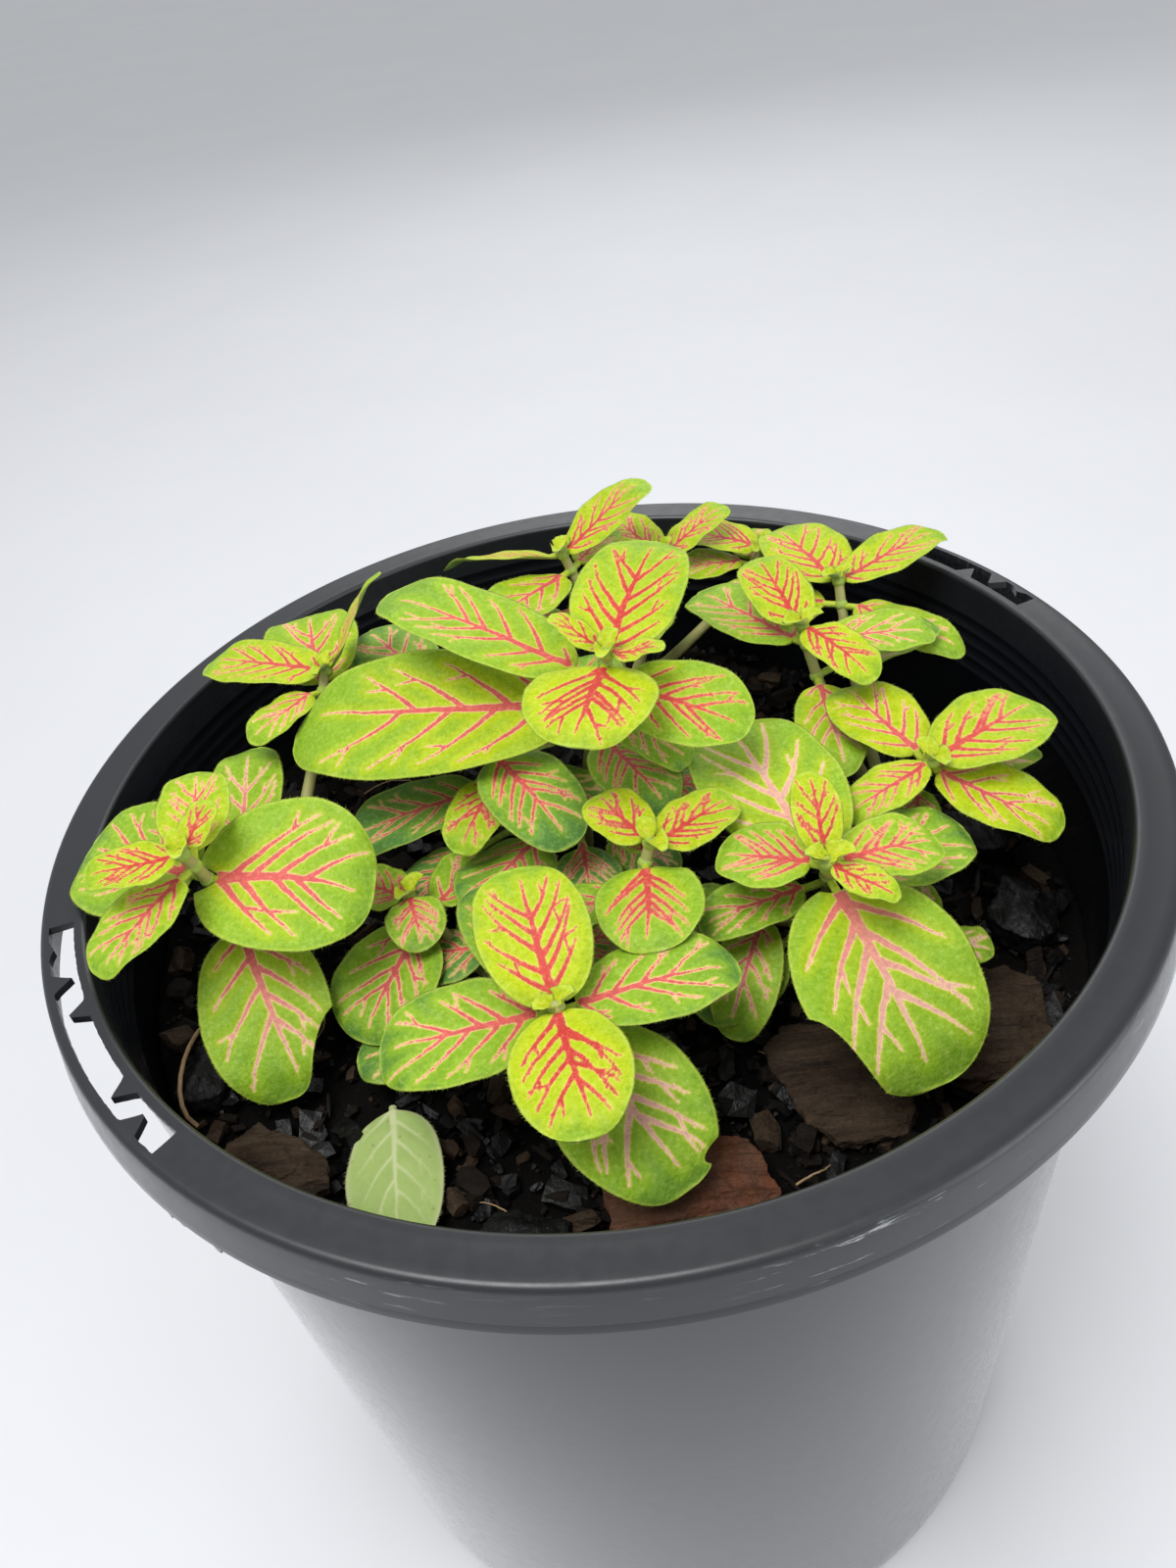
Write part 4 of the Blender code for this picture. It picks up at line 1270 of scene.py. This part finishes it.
def turn_matrix(rng, tilt):
    """Any turn about the vertical, with a small random tilt."""
    a, b, c = rng.uniform(0, 6.283), rng.normal(0, tilt), rng.normal(0, tilt)
    spin = Matrix.Rotation(a, 3, "Z") @ Matrix.Rotation(b, 3, "X") @ Matrix.Rotation(c, 3, "Y")
    return np.array(spin)


def bedded(points, tree):
    """Whether a crumb would poke into the thing that lies on the mix."""
    for p in points:
        hit = tree.ray_cast(Vector((p[0], p[1], 0)), UP)[0]
        if hit is not None and p[2] > hit.z - 0.3 * MM:
            return True
    return False


def make_crumbs(height, bark, coal, brown):
    """Loose bark and charcoal crumbs that cover the mix, coarse ones over fine."""
    rng = np.random.default_rng(2024)
    size = pot_sizes()
    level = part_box("potting_mix")[1].z
    reach = wall_radius(size, level) - 1.5 * MM
    sets = {"coal": Gather(), "bark": Gather(), "brown": Gather()}
    keep_clear = tree_of("fallen_leaf")
    share = 1.0
    for count, low, high, lift, slim in CRUMBS:
        for _ in range(int(count * share)):
            long = MM * (low + (high - low) * rng.random() ** 2.2)
            wide = long * rng.uniform(slim, 2.1 * slim)
            thick = long * rng.uniform(0.6, 1.3) * slim
            r = (reach - long / 2) * math.sqrt(rng.random())
            x, y = polar(r, rng.uniform(0, 2 * math.pi))
            p, faces = crumb_shape(rng, long, wide, thick)
            p = p @ turn_matrix(rng, 0.35).T
            p += (x, y, height(x, y) - 0.8 * MM + lift * MM + thick * rng.uniform(0.1, 0.7))
            kind = rng.choice(list(CRUMB_SHARES), p=list(CRUMB_SHARES.values()))
            if bedded(p, keep_clear):
                continue
            sets[kind].add(p, faces)
    sets["coal"].piece("charcoal_crumbs", coal, "charcoal", smooth=False)
    sets["bark"].piece("bark_crumbs_dark", bark, "bark", smooth=False)
    sets["brown"].piece("bark_crumbs_brown", brown, "bark", smooth=False)


def make_lumps(looks):
    """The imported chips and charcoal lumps, broken up by layered noise."""
    for name in sorted(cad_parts):
        if not name.startswith(("bark_chip", "charcoal")):
            continue
        fine = remeshed(name, REMESH_STEP)
        low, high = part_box(name)
        middle = (low + high) / 2
        flat = name.startswith("bark")
        for vertex in fine.vertices:
            p = vertex.co - middle
            away = p.normalized()
            broad = noise.fractal(p / (5.5 * MM) + middle * 100, 1.0, 2.0, 3)
            fine_part = noise.fractal(p / (1.4 * MM) + middle * 77, 1.0, 2.0, 3)
            shelf = math.floor(p.z / (0.9 * MM) + broad) * 0.22 * MM if flat else 0.0
            sideways = Vector((away.x, away.y, away.z * 0.35))
            vertex.co += sideways * (0.9 * MM * broad + 0.28 * MM * fine_part + shelf)
            if flat:
                along = Vector((p.x * 0.16, p.y, p.z)) / (1.5 * MM)
                vertex.co.z += 0.42 * MM * noise.fractal(along + middle * 55, 1.0, 2.0, 3)
        settle(name + "_piece", fine, looks[name], [name], smooth=False)


def make_fallen_leaf(dry):
    """The dropped leaf on the mix; its hub is the end of its stalk."""
    corners = points_of("fallen_leaf")
    stalk = corners[:, 1] > corners[:, 1].max() - 0.6 * MM
    hub = corners[stalk].mean(axis=0)
    leaf = Leaf(corners, hub, np.array([0.0, 0.0, 0.0]))
    leaf.base = max(leaf.base, 1.2 * MM)
    gather = Gather(*LEAF_VALUES)
    shape = {"power": 0.46, "broad": 0.1, "lobe": 0.0, "faint": 0.22}
    add_leaf(gather, leaf, 0.6, 0.5, 901, shape)
    gather.piece("dropped_leaf", dry, "dry_leaf", ["fallen_leaf"])


def fibre_curve(name, route, radius, look):
    """A thin dry root along a smooth route."""
    curve = bpy.data.curves.new(name, "CURVE")
    curve.dimensions = "3D"
    curve.bevel_depth = radius
    curve.bevel_resolution = 3
    curve.use_fill_caps = True
    spline = curve.splines.new("POLY")
    spline.points.add(len(route) - 1)
    for i, (point, place) in enumerate(zip(spline.points, route)):
        point.co = (*place, 1)
        point.radius = 1 - 0.45 * i / len(route)
    settle(name, baked(work_object(name + "_work", curve)), look)


def make_fibres(height, look):
    """Loose dry roots on the mix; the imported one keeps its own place."""
    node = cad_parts["root_fibre"]
    node.data.materials.clear()
    node.data.materials.append(look)
    rng = np.random.default_rng(31)
    starts = [(1, -60, 262, 17)] + [
        (rng.uniform(-60, 60), rng.uniform(-75, 50), rng.uniform(0, 360), rng.uniform(6, 15))
        for _ in range(26)]
    for i, (x, y, heading, long) in enumerate(starts):
        x, y, angle = x * MM, y * MM, math.radians(heading)
        route = []
        for k in range(FIBRE_POINTS):
            lift = 1.6 * MM * math.sin(math.pi * k / (FIBRE_POINTS - 1)) + 0.9 * MM
            route.append((x, y, height(x, y) + lift))
            angle += rng.normal(0, 0.16)
            x += long * MM / FIBRE_POINTS * math.cos(angle)
            y += long * MM / FIBRE_POINTS * math.sin(angle)
        fibre_curve(f"fine_root_{i + 1}", route, rng.uniform(0.1, 0.22) * MM, look)


# ---------------------------------------------------------------- stage


def make_stage():
    bpy.ops.mesh.primitive_plane_add(size=80, location=(0, 0, -0.2 * MM))
    floor = bpy.context.object
    floor.name = "floor"
    floor.data.materials.append(floor_material())


def lamp(name, place, aim, size, power):
    light = bpy.data.lights.new(name, "AREA")
    light.shape = "DISK"
    light.size = size
    light.energy = power
    thing = work_object(name, light)
    thing.location = place
    way = Vector((0, 0, aim)) - Vector(place)
    thing.rotation_euler = way.to_track_quat("-Z", "Y").to_euler()


def make_lights():
    for row in LAMPS:
        lamp(*row)
    world = bpy.data.worlds.new("studio")
    world.use_nodes = True
    back = world.node_tree.nodes["Background"]
    back.inputs["Color"].default_value = SKY_TINT
    back.inputs["Strength"].default_value = SKY_STRENGTH
    bpy.context.scene.world = world
    bpy.context.scene.view_settings.view_transform = "Standard"


def make_camera():
    """A wide lens close over the rim, looking down across the pot."""
    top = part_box("pot")[1].z
    lift = math.radians(CAMERA_ELEVATION)
    target = Vector((0, 0, top))
    place = Vector((0, -CAMERA_DISTANCE * math.cos(lift), top + CAMERA_DISTANCE * math.sin(lift)))
    ahead = (target - place).normalized()
    right = Vector((1, 0, 0))
    above = right.cross(ahead)
    for axis, angle in ((above, CAMERA_YAW), (None, CAMERA_PITCH), (ahead, CAMERA_ROLL)):
        axis = right if axis is None else axis
        spin = Matrix.Rotation(math.radians(angle), 3, axis)
        ahead, right, above = spin @ ahead, spin @ right, spin @ above
    camera = bpy.data.cameras.new("camera")
    camera.sensor_width = CAMERA_SENSOR
    camera.lens = CAMERA_LENS
    camera.clip_start = 0.01
    thing = work_object("camera", camera)
    turn = Matrix((right, above, -ahead)).transposed()
    thing.matrix_world = Matrix.Translation(place) @ turn.to_4x4()
    bpy.context.scene.camera = thing


def build():
    make_stage()
    make_lights()
    make_camera()
    plastic = pot_material("black_plastic", 0.0, 0.75)
    make_pot(plastic, pot_material("black_plastic_wall", 0.36, 0.45))
    height = mix_surface()
    make_mix(height, soil_material())
    dark = bark_material("bark_dark", (10, 8, 7), (40, 32, 25), (28, 20, 15))
    brown = bark_material("bark_brown", (26, 19, 14), (96, 78, 60), (58, 42, 30))
    red = bark_material("bark_red", (58, 32, 20), (136, 98, 76), (118, 68, 44))
    coal = charcoal_material()
    make_crumbs(height, dark, coal, brown)
    looks = {name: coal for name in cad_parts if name.startswith("charcoal")}
    looks.update(bark_chip_right=brown, bark_chip_middle=brown, bark_chip_front=red,
                 bark_chip_left=brown)
    make_lumps(looks)
    make_stems(stem_material())
    leafy = leaf_material()
    make_leaves(leafy)
    make_shaded(leafy)
    make_fallen_leaf(dry_leaf_material())
    make_fibres(height, fibre_material())


build()
